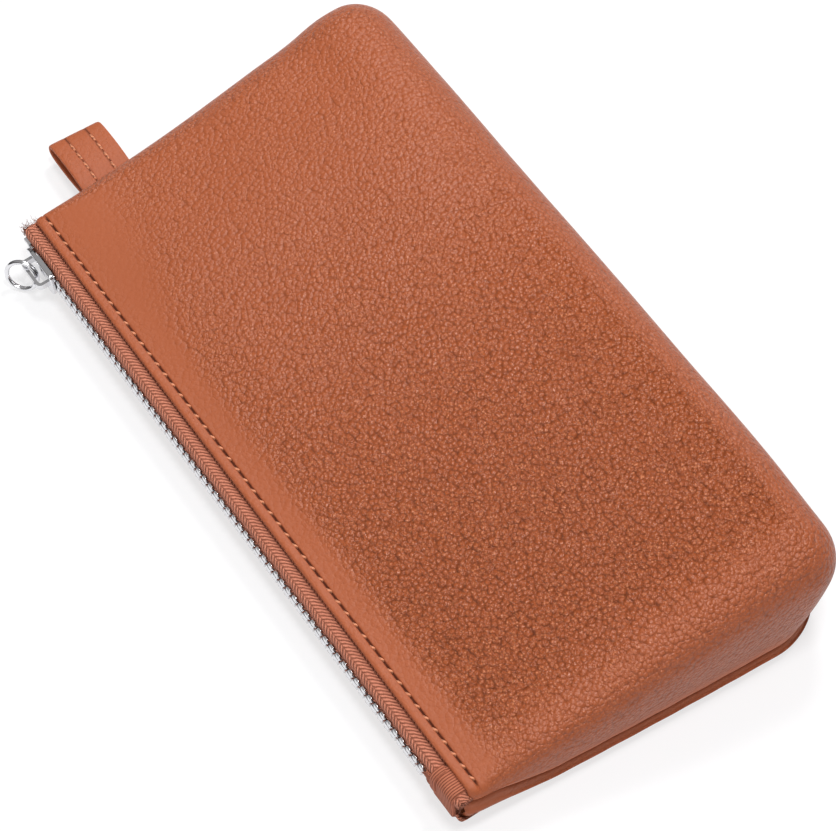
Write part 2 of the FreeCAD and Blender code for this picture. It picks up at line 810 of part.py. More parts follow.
def stitch(start, end):
    """One visible length of thread, with round ends."""
    run = end - start
    radius = value("thread_radius")
    solid = Part.makeCylinder(radius, run.Length, start, run)
    for tip in (start, end):
        solid = solid.fuse(Part.makeSphere(radius, tip))
    return solid.removeSplitter()


def make_topstitch(label, height):
    """A row of stitches along a hem."""
    step = value("stitch_pitch")
    run = value("stitch_length")
    y = value("%s + stitch_inset" % MOUTH_Y)
    z = value(height)
    reach = value(HALF) - step
    count = int(2 * reach / step)
    first = -count * step / 2
    solids = []
    for number in range(count):
        middle = first + (number + 0.5) * step
        solids.append(stitch(Vector(middle - run / 2, y, z), Vector(middle + run / 2, y, z)))
    group_of_solids(label, solids)


def make_seam_thread():
    """Stitches that join the two panels at the ends and the base."""
    step = value("seam_stitch_pitch")
    wall = value("leather_thickness")
    front = value(HEM_INNER_Y) + step / 2
    back = value(BASE_Y) - value("base_corner_radius")
    places = []
    for number in range(int((back - front) / step) + 1):
        y = front + number * step
        half = value(half_at("%.6f" % y)) - wall / 2
        places.append((half, y))
        places.append((-half, y))
    span = value(half_at(BASE_Y)) - value("base_corner_radius")
    count = int(2 * span / step)
    base = value(BASE_Y) - 0.7 * wall
    for number in range(count + 1):
        places.append(((number - count / 2) * step, base))
    height = value("seam_height")
    rise = Vector(0, 0, value("stitch_length") / 2)
    solids = []
    for x, y in places:
        middle = Vector(x, y, height)
        solids.append(stitch(middle - rise, middle + rise))
    group_of_solids("seam_thread", solids)


def make_loop_stitches():
    """Two rows along the strap, on its upper and lower faces."""
    profile = [(value(x), value(reach)) for x, reach in loop_profile()]
    height = value("seam_height")
    middle_y = value(LOOP_Y)
    spread = value("loop_row_spacing") / 2
    step = value("stitch_pitch")
    run = value("stitch_length")
    solids = []
    root = profile[1][0]
    tip = profile[-1][0] + value("loop_belly")
    count = int((root - tip) / step)
    for row in (-spread, spread):
        y = middle_y + row
        for number in range(count):
            near = root - number * step
            ends = []
            for x in (near, near - run):
                ends.append((x, strap_reach(profile, x)))
            for side in (1, -1):
                start, end = [Vector(x, y, height + side * reach) for x, reach in ends]
                solids.append(stitch(start, end))
    group_of_solids("loop_stitches", solids)


def strap_reach(profile, x):
    """Half height of the folded strap at a place along it."""
    for (x0, r0), (x1, r1) in zip(profile, profile[1:]):
        if x >= x1:
            return r0 + (r1 - r0) * (x - x0) / (x1 - x0)
    return profile[-1][1]


# ---------------------------------------------------------------- build and write

make_upper_panel()
make_lower_panel()
make_linings()
make_upper_tape()
make_lower_tape()
make_cord("upper_cord", 1)
make_cord("lower_cord", -1)
make_teeth()
make_stops()
make_bottom_stop()
make_end_tab()
make_slider()
make_slider_crown()
make_pull_ring()
make_loop_strap()
make_loop_tail()
make_topstitch("upper_topstitch", MOUTH_TOP)
make_topstitch("lower_topstitch", "hem_height_below")
make_seam_thread()
make_loop_stitches()
doc.recompute()

for item in doc.Objects:
    if "Invalid" in item.State or "Error" in item.State:
        raise RuntimeError("%s failed: %s" % (item.Label, item.State))
for item in finished:
    if item.Shape.isNull() or not item.Shape.isValid():
        raise RuntimeError(item.Label + " has no valid shape")

os.makedirs(PARTS_FOLDER, exist_ok=True)
for item in finished:
    item.Shape.exportStep("%s/%s.step" % (PARTS_FOLDER, item.Label))
    print("%-16s solids %3d  volume %9.2f" % (
        item.Label, len(item.Shape.Solids), item.Shape.Volume))
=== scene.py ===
"""A zipped leather pouch, dressed over its packed construction model."""

import math

import bmesh
import bpy
from bpy.props import FloatProperty, FloatVectorProperty, PointerProperty
from mathutils import Matrix, Vector, noise


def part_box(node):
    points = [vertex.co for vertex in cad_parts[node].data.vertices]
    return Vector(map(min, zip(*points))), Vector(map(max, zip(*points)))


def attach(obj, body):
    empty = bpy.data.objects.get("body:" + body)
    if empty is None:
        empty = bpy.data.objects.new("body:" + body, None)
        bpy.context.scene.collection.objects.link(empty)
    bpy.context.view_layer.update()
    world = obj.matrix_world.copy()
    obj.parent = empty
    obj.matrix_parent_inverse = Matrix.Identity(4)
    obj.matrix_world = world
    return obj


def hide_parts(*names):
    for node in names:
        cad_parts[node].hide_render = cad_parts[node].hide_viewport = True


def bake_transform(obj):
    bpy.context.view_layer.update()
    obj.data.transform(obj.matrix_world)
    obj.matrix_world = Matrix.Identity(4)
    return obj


bl_info = {
    "name": "Zipped leather pouch",
    "version": (1, 0, 0),
    "blender": (4, 5, 0),
    "location": "View3D > Sidebar > Pouch",
    "description": "Builds the soft skin, sewing, zip and finishes of a zipped leather pouch",
    "category": "Add Mesh",
}

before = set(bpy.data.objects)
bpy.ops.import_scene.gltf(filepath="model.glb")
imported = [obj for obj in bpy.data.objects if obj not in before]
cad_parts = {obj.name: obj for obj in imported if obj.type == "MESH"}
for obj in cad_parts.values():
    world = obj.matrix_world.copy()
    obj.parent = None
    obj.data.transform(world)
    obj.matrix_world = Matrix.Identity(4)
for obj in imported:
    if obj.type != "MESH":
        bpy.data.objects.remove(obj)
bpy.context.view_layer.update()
MM = 0.001


# ---------------------------------------------------------------- places read from the frame

def node_box(name):
    """A construction node's lowest and highest corner, in millimetres."""
    low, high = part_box(name)
    return low / MM, high / MM


UPPER_LOW, UPPER_HIGH = node_box("upper_panel")
TAPE_HIGH = node_box("upper_tape")[1]
STOP_LOW, STOP_HIGH = node_box("bottom_stop")
TEETH_LOW, TEETH_HIGH = node_box("upper_teeth")
STRAP_LOW, STRAP_HIGH = node_box("loop_strap")
TAB_LOW, TAB_HIGH = node_box("zip_end_tab")
TOPSTITCH_LOW, TOPSTITCH_HIGH = node_box("upper_topstitch")

MOUTH_Y = UPPER_LOW.y
BASE_Y = UPPER_HIGH.y
MOUTH_HALF = TAPE_HIGH.x
BASE_HALF = 98.0  # half the base's length, before its corners are rounded
CROWN = UPPER_HIGH.z
SEAM_Z = UPPER_LOW.z
CHAIN_Y = (STOP_LOW.y + STOP_HIGH.y) / 2
CHAIN_Z = (STOP_LOW.z + STOP_HIGH.z) / 2
MOUTH_TOP = (TOPSTITCH_LOW.z + TOPSTITCH_HIGH.z) / 2
TAPE_THICK = 0.6
UPPER_TAPE_Z = TAPE_HIGH.z - TAPE_THICK / 2
LOWER_TAPE_Z = node_box("lower_tape")[0].z + TAPE_THICK / 2
CHAIN_LEAN = math.radians(5)
LOOP_Y = (STRAP_LOW.y + STRAP_HIGH.y) / 2


# ---------------------------------------------------------------- sizes and colours

class PouchSizes(bpy.types.PropertyGroup):
    """Sizes of the soft pieces that a maker would change."""

    corner_radius: FloatProperty(
        name="Base corner", description="Radius of the base corners at the seam, seen from above",
        default=0.019, unit="LENGTH")
    crown_corner: FloatProperty(
        name="Crown corner", description="Radius of the base corners at the top, seen from above",
        default=0.011, unit="LENGTH")
    crown_radius: FloatProperty(
        name="Crown edge", description="Radius of the roll from the top to the walls at the base",
        default=0.011, unit="LENGTH")
    mouth_radius: FloatProperty(
        name="Mouth edge", description="Radius of the roll from the top to the walls at the zip",
        default=0.0040, unit="LENGTH")
    stitch_inset: FloatProperty(
        name="Stitch inset", description="Distance of the top stitching from the folded edge",
        default=0.0026, unit="LENGTH")
    stitch_pitch: FloatProperty(
        name="Stitch pitch", description="Length of one stitch with its hole",
        default=0.0035, unit="LENGTH")
    stitch_length: FloatProperty(
        name="Stitch", description="Length of thread that shows in one stitch",
        default=0.0019, unit="LENGTH")
    thread_radius: FloatProperty(
        name="Thread", description="Radius of the sewing thread",
        default=0.00034, unit="LENGTH")
    pebble: FloatProperty(
        name="Pebble", description="Width of one pebble of the leather grain",
        default=0.00110, unit="LENGTH")
    corner_lift: FloatProperty(
        name="Corner lift", description="How far the mouth corners rise off the table",
        default=0.0015, unit="LENGTH")
    tooth_pitch: FloatProperty(
        name="Tooth pitch", description="Distance between teeth of one row",
        default=0.00254, unit="LENGTH")


class PouchColours(bpy.types.PropertyGroup):
    """Colours of the finishes."""

    leather: FloatVectorProperty(
        name="Leather", description="Tan of the pebbled leather", subtype="COLOR",
        size=3, min=0, max=1, default=(0.36, 0.085, 0.025))
    tape: FloatVectorProperty(
        name="Zip tape", description="Woven tape of the zip", subtype="COLOR",
        size=3, min=0, max=1, default=(0.46, 0.170, 0.105))
    ribbon: FloatVectorProperty(
        name="Ribbon", description="Ribbed ribbon over the zip's end", subtype="COLOR",
        size=3, min=0, max=1, default=(0.38, 0.125, 0.070))
    thread: FloatVectorProperty(
        name="Thread", description="Top stitching", subtype="COLOR",
        size=3, min=0, max=1, default=(0.62, 0.23, 0.115))
    lining: FloatVectorProperty(
        name="Lining", description="Plain cloth inside", subtype="COLOR",
        size=3, min=0, max=1, default=(0.12, 0.07, 0.045))
    metal: FloatVectorProperty(
        name="Metal", description="Nickel of the chain and slider", subtype="COLOR",
        size=3, min=0, max=1, default=(0.80, 0.80, 0.82))


# ---------------------------------------------------------------- shader maths

class Value:
    """A shader socket that carries a number, so that shader maths reads as plain sums."""

    def __init__(self, paint, socket):
        self.paint = paint
        self.socket = socket

    def math(self, operation, *others, swapped=False):
        """The outcome of a Math node on this number and the others."""
        terms = [self, *others]
        if swapped:
            terms.reverse()
        node = self.paint.add("ShaderNodeMath", {"operation": operation}, dict(enumerate(terms)))
        return Value(self.paint, node.outputs[0])

    def __add__(self, other):
        return self.math("ADD", other)

    __radd__ = __add__

    def __sub__(self, other):
        return self.math("SUBTRACT", other)

    def __rsub__(self, other):
        return self.math("SUBTRACT", other, swapped=True)

    def __mul__(self, other):
        return self.math("MULTIPLY", other)

    __rmul__ = __mul__

    def __truediv__(self, other):
        return self.math("DIVIDE", other)

    def power(self, other):
        return self.math("POWER", other)

    def fraction(self):
        return self.math("FRACT")

    def floor(self):
        return self.math("FLOOR")

    def size(self):
        return self.math("ABSOLUTE")

    def sine(self):
        return self.math("SINE")

    def at_least(self, other):
        return self.math("MAXIMUM", other)

    def at_most(self, other):
        return self.math("MINIMUM", other)

    def step(self, start, end):
        """Rises smoothly from 0 at start to 1 at end."""
        node = self.paint.add(
            "ShaderNodeMapRange", {"interpolation_type": "SMOOTHSTEP"},
            {"Value": self, "From Min": start, "From Max": end, "To Min": 0.0, "To Max": 1.0})
        return Value(self.paint, node.outputs["Result"])


class Shader:
    """The nodes of a material or of the world, and the one call that adds them."""

    def __init__(self, tree):
        self.tree = tree
        self.tree.nodes.clear()

    def add(self, kind, settings=None, sockets=None):
        """Adds a node: its settings first, then the values or links of its sockets."""
        node = self.tree.nodes.new(kind)
        for name, setting in (settings or {}).items():
            setattr(node, name, setting)
        for name, content in (sockets or {}).items():
            named = [s for s in node.inputs if s.identifier == name]
            self.fill(named[0] if named else node.inputs[name], content)
        return node

    def fill(self, socket, content):
        """Links a socket, or sets its value."""
        if isinstance(content, Value):
            content = content.socket
        if isinstance(content, bpy.types.NodeSocket):
            self.tree.links.new(content, socket)
        else:
            socket.default_value = content

    def axes(self, vector):
        """The three numbers of a vector."""
        node = self.add("ShaderNodeSeparateXYZ", None, {0: vector})
        return [Value(self, s) for s in node.outputs]

    def mix(self, factor, first, second):
        """A shader between two shaders."""
        return self.add("ShaderNodeMixShader", None, {0: factor, 1: first, 2: second}).outputs[0]


class Paint(Shader):
    """A material and the few calls that its shader is written with."""

    def __init__(self, name):
        self.material = bpy.data.materials.new(name)
        self.material.use_nodes = True
        super().__init__(self.material.node_tree)
        self.surface = self.add("ShaderNodeBsdfPrincipled")
        self.out = self.add("ShaderNodeOutputMaterial", None,
                            {"Surface": self.surface.outputs[0]})

    def finish(self, **sockets):
        """Fills the surface shader's sockets; underscores stand for spaces."""
        for name, content in sockets.items():
            self.fill(self.surface.inputs[name.replace("_", " ")], content)
        return self.material

    def place(self):
        """Position on the piece itself, in metres."""
        return self.add("ShaderNodeTexCoord").outputs["Object"]

    def painted(self, name):
        """A vertex attribute's vector."""
        return self.add("ShaderNodeAttribute", {"attribute_name": name}).outputs["Vector"]

    def shift(self, vector, other, amount):
        """vector + other * amount."""
        scaled = self.add("ShaderNodeVectorMath", {"operation": "SCALE"},
                          {0: other, "Scale": amount})
        return self.add("ShaderNodeVectorMath", {"operation": "ADD"},
                        {0: vector, 1: scaled.outputs[0]}).outputs[0]

    def noise(self, vector, scale, detail):
        """A noise node, with its number and its colour as outputs."""
        return self.add("ShaderNodeTexNoise", None,
                        {"Vector": vector, "Scale": scale, "Detail": detail})

    def cloudy(self, vector, scale, detail=2.0):
        """Soft noise from 0 to 1."""
        return Value(self, self.noise(vector, scale, detail).outputs[0])

    def cells(self, vector, scale, feature="DISTANCE_TO_EDGE"):
        """Voronoi cells: the distance to a cell's edge or middle."""
        node = self.add("ShaderNodeTexVoronoi", {"feature": feature},
                        {"Vector": vector, "Scale": scale, "Randomness": 1.0})
        return Value(self, node.outputs["Distance"])

    def blend(self, factor, first, second):
        """A colour between two colours."""
        node = self.add("ShaderNodeMix", {"data_type": "RGBA"},
                        {"Factor_Float": factor, "A_Color": first, "B_Color": second})
        return [s for s in node.outputs if s.identifier == "Result_Color"][0]

    def bump(self, height, distance, strength=1.0):
        """A normal that follows a height, over a distance in metres."""
        return self.add("ShaderNodeBump", None, {"Height": height, "Distance": distance,
                                                 "Strength": strength}).outputs[0]


def shade(colour, factor):
    """A colour made darker or lighter, with full alpha."""
    return (*[min(1.0, c * factor) for c in colour], 1.0)


def tinted(colour, green, blue, factor):
    """The colour with its green and blue parts scaled, then made darker or lighter."""
    return shade((colour[0], colour[1] * green, colour[2] * blue), factor)


# ---------------------------------------------------------------- finishes

def leather_finish(name, colour, pebble):
    """Pebbled leather; the painted values give the grain's depth, painted crease shade and painted
    edge highlights.
    """
    paint = Paint(name)
    place = paint.place()
    grain, crease_shade, edge_highlight = paint.axes(paint.painted("skin"))
    warp = paint.noise(place, 420.0, 3.0).outputs["Color"]
    bent = paint.shift(place, warp, pebble * 0.45)
    large = 1.0 - paint.cells(bent, 1 / pebble, "F1").power(2.0) * 1.6
    small = 1.0 - paint.cells(bent, 2.3 / pebble, "F1").power(2.0) * 1.6
    groove = paint.cells(bent, 1 / pebble).step(0.0, 0.20)
    folds = paint.cloudy(place, 700.0, 4.0)
    drift = paint.cloudy(place, 22.0, 2.0)
    patch = paint.cloudy(place, 95.0, 2.0).step(0.30, 0.70)
    pores = paint.cloudy(place, 5200.0, 2.0)
    depth = grain * (drift * 0.4 + 0.8)
    dome = large * 0.72 + small * 0.26 * (patch * 0.6 + 0.6) + groove * 0.10
    height = (dome + folds * 0.18) * depth + pores * 0.03
    valley_shade = (1.0 - large * (small * 0.5 + 0.5)).at_least(0.0) * grain
    body = paint.blend(drift, shade(colour, 0.94), shade(colour, 1.06))
    # painted highlight: the painted edge value lightens the seam and mouth edges and the strap's
    # sides
    highlight_tone = tinted(colour, 1.15, 1.5, 1.50)
    edge_lit = paint.blend((edge_highlight * 0.55).at_most(1.0), body, highlight_tone)
    # painted shade: the grain's valleys are darkened towards the deep tone
    deep = tinted(colour, 0.8, 0.6, 0.50)
    valley_shaded = paint.blend((valley_shade * 0.36).at_most(1.0), edge_lit, deep)
    # painted highlights: pale spots on the pebbles' middles stand in for glints
    crown = paint.cells(bent, 1.3 / pebble, "F1").step(0.40, 0.14)
    pale = tinted(colour, 1.45, 2.2, 1.65)
    painted_glints = paint.blend((crown * grain * (patch * 0.45 + 0.25)).at_most(0.8), valley_shaded, pale)
    # painted shade in the sewn creases: the stitch grooves, the seam and the strap's grooves
    sewn = paint.blend(crease_shade.at_most(1.0), painted_glints, tinted(colour, 0.7, 0.4, 0.26))
    smooth = (1.0 - grain).at_least(0.0)
    rough = 0.22 + smooth * 0.40 + crease_shade * 0.3 + valley_shade * 0.08 + folds * 0.06
    return paint.finish(
        Base_Color=sewn, Roughness=rough, Specular_IOR_Level=0.45,
        Normal=paint.bump(height, 0.00050, 1.0))


def lining_finish(name, colour):
    """Plain woven cloth."""
    paint = Paint(name)
    x, y, z = paint.axes(paint.place())
    warp = ((x + z) * (2 * math.pi / 0.0006)).sine()
    weft = (y * (2 * math.pi / 0.0006)).sine()
    weave = warp * weft * 0.5 + 0.5
    # the raised threads are painted lighter and the dips darker: painted light and shade over the
    # weave
    base = paint.blend(weave, shade(colour, 0.75), shade(colour, 1.2))
    return paint.finish(Base_Color=base, Roughness=0.9 - weave * 0.1,
                        Normal=paint.bump(weave, 0.0001, 0.6))


def herringbone_finish(name, colour):
    """Zip tape: slanted ribs that turn back at each wale."""
    paint = Paint(name)
    along, across, _ = paint.axes(paint.painted("weave"))
    wale = across / 2.25
    column = wale.floor()
    turned = 1.0 - ((column * 0.5).fraction() * 4.0)
    inside = wale.fraction()
    wobble = paint.cloudy(paint.place(), 600.0, 2.0) * 0.28
    phase = (along + turned * inside * 2.0 + wobble) / 1.08
    rib = (phase.fraction() - 0.5).size() * 2.0
    seam = (inside - 0.5).size() * 2.0
    yarn = ((along * 0.7 - turned * across * 2.0) * 9.0).sine() * 0.5 + 0.5
    height = (1.0 - rib.power(1.6)) * (1.0 - seam.power(8.0) * 0.6) + yarn * 0.12
    speck = paint.cloudy(paint.place(), 1500.0, 3.0)
    # the ribs' tops are painted lighter and the grooves darker: painted light and shade over the
    # weave
    lit = (height * 0.85 + speck * 0.40 - 0.10).at_least(0.0).at_most(1.0)
    deep = tinted(colour, 0.60, 0.40, 0.34)
    base = paint.blend(lit, deep, shade(colour, 1.42))
    return paint.finish(Base_Color=base, Roughness=0.78 - height * 0.12, Specular_IOR_Level=0.25,
                        Normal=paint.bump(height, 0.00034, 1.0))


def ribbon_finish(name, colour):
    """Ribbed ribbon: round cords that run across the zip."""
    paint = Paint(name)
    along, across, _ = paint.axes(paint.painted("weave"))
    rib = (along * (math.pi / 0.62)).sine().size()
    wrap = (across * (2 * math.pi / 0.34)).sine() * 0.5 + 0.5
    height = rib.power(0.6) + wrap * 0.12
    speck = paint.cloudy(paint.place(), 1300.0, 3.0)
    # the cords' tops are painted lighter and the dips darker: painted light and shade
    lit = (rib * 0.8 + speck * 0.3).at_most(1.0)
    deep = tinted(colour, 0.65, 0.45, 0.42)
    base = paint.blend(lit, deep, shade(colour, 1.30))
    return paint.finish(Base_Color=base, Roughness=0.78 - rib * 0.1, Specular_IOR_Level=0.25,
                        Normal=paint.bump(height, 0.00022, 0.9))


def thread_finish(name, colour):
    """Waxed twisted thread."""
    paint = Paint(name)
    along, across, _ = paint.axes(paint.painted("weave"))
    ply = (along * 5.2 + across).sine() * 0.5 + 0.5
    fibre = paint.cloudy(paint.place(), 4200.0, 2.0)
    lit = (ply * 0.7 + fibre * 0.4).at_most(1.0)
    base = paint.blend(lit, shade(colour, 0.45), shade(colour, 1.25))
    return paint.finish(Base_Color=base, Roughness=0.5 + fibre * 0.2,
                        Normal=paint.bump(ply, 0.00008, 0.8))


def nickel_finish(name, colour, roughness, plate):
    """Polished nickel plate with faint handling marks."""
    paint = Paint(name)
    place = paint.place()
    cloud = paint.cloudy(place, 900.0, 3.0)
    scratch = paint.cloudy(place, 3500.0, 4.0)
    base = paint.blend(cloud, shade(colour, 0.90), shade(colour, 1.05))
    return paint.finish(Base_Color=base, Metallic=plate, Roughness=roughness + scratch * 0.10,
                        Normal=paint.bump(scratch, 0.00001, 0.3))


FINISHES = {}


def finish_for(slot):
    """The material of a slot, made once."""
    if slot not in FINISHES:
        colours = bpy.context.scene.pouch_colours
        pebble = bpy.context.scene.pouch_sizes.pebble
        makers = {
            "leather": lambda: leather_finish("Pebbled_leather", colours.leather, pebble),
            "loop_leather": lambda: leather_finish("Strap_leather", colours.leather, pebble * 0.8),
            "lining": lambda: lining_finish("Lining_cloth", colours.lining),
            "zip_tape": lambda: herringbone_finish("Herringbone_tape", colours.tape),
            "end_ribbon": lambda: ribbon_finish("Ribbed_ribbon", colours.ribbon),
            "thread": lambda: thread_finish("Waxed_thread", colours.thread),
            "chain_metal": lambda: nickel_finish("Chain_nickel", colours.metal, 0.16, 0.9),
            "slider_metal": lambda: nickel_finish("Slider_nickel", colours.metal, 0.10, 1.0),
        }
        FINISHES[slot] = makers[slot]()
    return FINISHES[slot]


# ---------------------------------------------------------------- mesh helpers

def eased(value, start, end):
    """0 before start, 1 after end, smooth between."""
    share = min(1.0, max(0.0, (value - start) / (end - start)))
    return share * share * (3 - 2 * share)


def turns(count):
    """The angles of evenly spaced places round a ring."""
    return [2 * math.pi * step / count for step in range(count)]


def link_smooth(name, mesh, slot):
    """Puts a mesh in the scene with smooth faces and its finish."""
    for polygon in mesh.polygons:
        polygon.use_smooth = True
    thing = bpy.data.objects.new(name, mesh)
    bpy.context.scene.collection.objects.link(thing)
    thing.data.materials.append(finish_for(slot))
    return thing


def refinish(node, slot):
    """Gives a construction node its finish and leaves its shape alone."""
    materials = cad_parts[node].data.materials
    materials.clear()
    materials.append(finish_for(slot))


def bring_to_life(name, points, faces, slot, levels, paint_name, painted):
    """Makes a smooth object from points in millimetres, with one painted vector a point."""
    mesh = bpy.data.meshes.new(name)
    mesh.from_pydata([(x * MM, y * MM, z * MM) for x, y, z in points], [], faces)
    layer = mesh.attributes.new(paint_name, "FLOAT_VECTOR", "POINT")
    layer.data.foreach_set("vector", [c for v in painted for c in v])
    shape = bmesh.new()
    shape.from_mesh(mesh)
    bmesh.ops.remove_doubles(shape, verts=shape.verts, dist=1e-7)
    bmesh.ops.recalc_face_normals(shape, faces=shape.faces)
    shape.to_mesh(mesh)
    shape.free()
    thing = link_smooth(name, mesh, slot)
    if levels:
        rounding = thing.modifiers.new("Rounding", "SUBSURF")
        rounding.levels = levels
        rounding.render_levels = levels
    return thing


def stand_for(thing, body, slot, *nodes):
    """Lets a made piece ride on its body in place of its construction nodes."""
    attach(thing, body)
    if nodes:
        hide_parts(*nodes)
    return thing


class Weft:
    """Collects points, faces and painted vectors of one piece."""

    def __init__(self):
        self.points = []
        self.faces = []
        self.painted = []

    def row(self, points, painted):
        """Adds a row of points and gives their numbers."""
        start = len(self.points)
        self.points.extend(points)
        self.painted.extend(painted)
        return list(range(start, len(self.points)))

    def strip(self, first, second, closed=False):
        """Faces between two rows of equal length."""
        count = len(first)
        for i in range(count if closed else count - 1):
            j = (i + 1) % count
            self.faces.append((first[i], first[j], second[j], second[i]))

    def cap(self, row):
        """One face over a closed row."""
        self.faces.append(tuple(row))

    def tube(self, rings, paints):
        """Closed rings joined one to the next, with both ends capped."""
        rows = [self.row(ring, paint) for ring, paint in zip(rings, paints)]
        for first, second in zip(rows, rows[1:]):
            self.strip(first, second, closed=True)
        self.cap(rows[0])
        self.cap(rows[-1])

    def make(self, name, slot, paint_name, levels=0):
        """The finished piece."""
        return bring_to_life(name, self.points, self.faces, slot, levels, paint_name, self.painted)


# ---------------------------------------------------------------- the pouch's form

SIDE_TURN = math.atan((BASE_HALF - MOUTH_HALF) / (BASE_Y - MOUTH_Y))
CORNER_MIDDLE = (math.pi / 2 - SIDE_TURN) / 2
CORNER_STEPS = 4
SIDE_STEPS = 20


class Form:
    """Plan, heights and soft edges of the pouch, in millimetres."""

    def __init__(self, sizes):
        self.corner = sizes.corner_radius / MM
        self.crown_corner = sizes.crown_corner / MM
        self.crown_edge = sizes.crown_radius / MM
        self.mouth_edge = sizes.mouth_radius / MM
        self.stitch = sizes.stitch_inset / MM
        self.lift_height = sizes.corner_lift / MM

    def half(self, y):
        """Half the pouch's width along the zip, at one depth."""
        share = (y - MOUTH_Y) / (BASE_Y - MOUTH_Y)
        return MOUTH_HALF + (BASE_HALF - MOUTH_HALF) * share

    def climb(self, y):
        """Share of the rise: nearly straight from the zip, level at the base."""
        share = (y - MOUTH_Y - 4.0) / (BASE_Y - self.crown_edge - MOUTH_Y - 4.0)
        share = min(1.0, max(0.0, share))
        return (10 * share - share ** 10) / 9

    def top(self, x, y):
        """Height of the crown, which sinks a little towards the short sides."""
        rise = self.climb(y)
        height = MOUTH_TOP + (CROWN - MOUTH_TOP) * rise
        ripple = noise.noise(Vector((x * 0.035, y * 0.045, 3.1)))
        fine = noise.noise(Vector((x * 0.11, y * 0.12, 7.7)))
        if x < 0:
            drop = 3.3 - 2.9 * eased(rise, 0.90, 1.0)
        else:
            drop = 1.9 + 1.0 * eased(rise, 0.80, 1.0)
        sink = drop * eased(abs(x), 48, 96) ** 1.3 * eased(rise, 0.0, 0.5)
        return height - sink + (0.5 * ripple + 0.13 * fine) * eased(y, MOUTH_Y + 4, MOUTH_Y + 22)

    def edge(self, y):
        """Radius of the roll from the top down to the wall."""
        return self.mouth_edge + (self.crown_edge - self.mouth_edge) * self.climb(y)

    def seam(self, y):
        """Height of the seam between the two panels."""
        return SEAM_Z + 4.6 * eased(-y, 26, -MOUTH_Y - 1.5)

    def lift(self, x, y):
        """How far the underside is off the table."""
        return self.lift_height * eased(abs(x), 62, 94) * eased(-y, 26, 52)

    def pout(self, x, offset):
        """How far the lower hem stands out past the upper one, near its corners."""
        return 1.2 * eased(abs(x), 66, 90) * (1 - eased(offset, 1.5, 7.0))

    def bulge(self, y):
        """How far a short side's middle stands out."""
        share = min(1.0, max(0.0, (y - MOUTH_Y) / (BASE_Y - MOUTH_Y)))
        return 0.9 * math.sin(math.pi * share) ** 0.6

    def side(self, low_y, high_y, sign):
        """A place on a short side: at the seam, at the crown, and the way out."""
        low, high = (Vector((sign * (self.half(y) + self.bulge(y)), y)) for y in (low_y, high_y))
        return low, high, Vector((sign * math.cos(SIDE_TURN), -math.sin(SIDE_TURN)))

    def corner_place(self, turn, sign):
        """A place on a rounded base corner, turn measured from the side."""
        angle = turn - SIDE_TURN
        normal = Vector((math.cos(angle), math.sin(angle)))
        spots = []
        for radius in (self.corner, self.crown_corner):
            centre_y = BASE_Y - radius
            centre_x = self.half(centre_y) - radius / math.cos(SIDE_TURN)
            out = self.bulge(centre_y) * (1 - eased(turn, 0, math.pi / 2))
            spot = Vector((centre_x, centre_y)) + normal * (radius + out)
            spots.append(Vector((sign * spot.x, spot.y)))
        return spots[0], spots[1], Vector((sign * normal.x, normal.y))

    def side_column(self, front_rows, sign):
        """Places from the mouth to the middle of the base corner."""
        places = [self.side(y, y, sign) for y in front_rows]
        start = front_rows[-1]
        for step in range(1, SIDE_STEPS + 1):
            low_y = start + (BASE_Y - self.corner - start) * step / SIDE_STEPS
            high_y = start + (BASE_Y - self.crown_corner - start) * step / SIDE_STEPS
            places.append(self.side(low_y, high_y, sign))
        middle = CORNER_MIDDLE + SIDE_TURN / 2
        for step in range(1, CORNER_STEPS + 1):
            places.append(self.corner_place(middle * step / CORNER_STEPS, sign))
        return places

    def base_row(self, across):
        """Places from the left base corner's middle to the right one's."""
        first = CORNER_MIDDLE + SIDE_TURN / 2
        last = math.pi / 2 + SIDE_TURN
        left = [self.corner_place(first + (last - first) * step / CORNER_STEPS, -1)
                for step in range(CORNER_STEPS + 1)]
        right = [tuple(Vector((-v.x, v.y)) for v in spots) for spots in reversed(left)]
        straight = []
        count = across - 2 * CORNER_STEPS
        for step in range(1, count):
            share = 1 - 2 * step / count
            low, high = (Vector((left[-1][k].x * share, BASE_Y)) for k in (0, 1))
            straight.append((low, high, Vector((0.0, 1.0))))
        return left + straight + right


def coons(left, right, front, base):
    """Fills a four-sided grid of plan points from its borders."""
    rows = []
    last_row = len(left) - 1
    last = len(front) - 1
    v_first = left[0].y
    v_span = left[-1].y - v_first
    for j in range(last_row + 1):
        v = (left[j].y - v_first) / v_span
        row = []
        for i in range(last + 1):
            u = i / last
            spot = (front[i] * (1 - v) + base[i] * v + left[j] * (1 - u) + right[j] * u
                    - (front[0] * (1 - u) * (1 - v) + front[last] * u * (1 - v)
                       + base[0] * (1 - u) * v + base[last] * u * v))
            row.append(spot)
        rows.append(row)
    return rows


# A lip is the folded mouth edge in section: how far back from the edge, and how high.
ACROSS = 56
LIP_END = 4.5
SEAM_GAP = 1.3
UPPER_LIP = [
    (4.6, -1.80), (2.4, -1.85), (0.9, -1.80), (0.25, -1.40), (0.0, -0.90), (0.16, -0.36),
    (0.62, -0.06), (1.40, -0.02), (2.26, -0.05), (2.42, -0.38), (2.6, -0.60), (2.78, -0.38),
    (2.96, -0.02), (3.9, 0.12), (5.2, 0.06), (7.0, 0.0),
]
LOWER_LIP = [
    (4.6, 1.95), (2.4, 1.97), (0.9, 1.90), (0.25, 1.50), (0.0, 1.05), (0.16, 0.55),
    (0.65, 0.22), (1.45, 0.14), (2.1, 0.18), (2.6, 0.60), (3.1, 0.18), (3.9, 0.04),
    (5.2, 0.0), (7.0, 0.0),
]
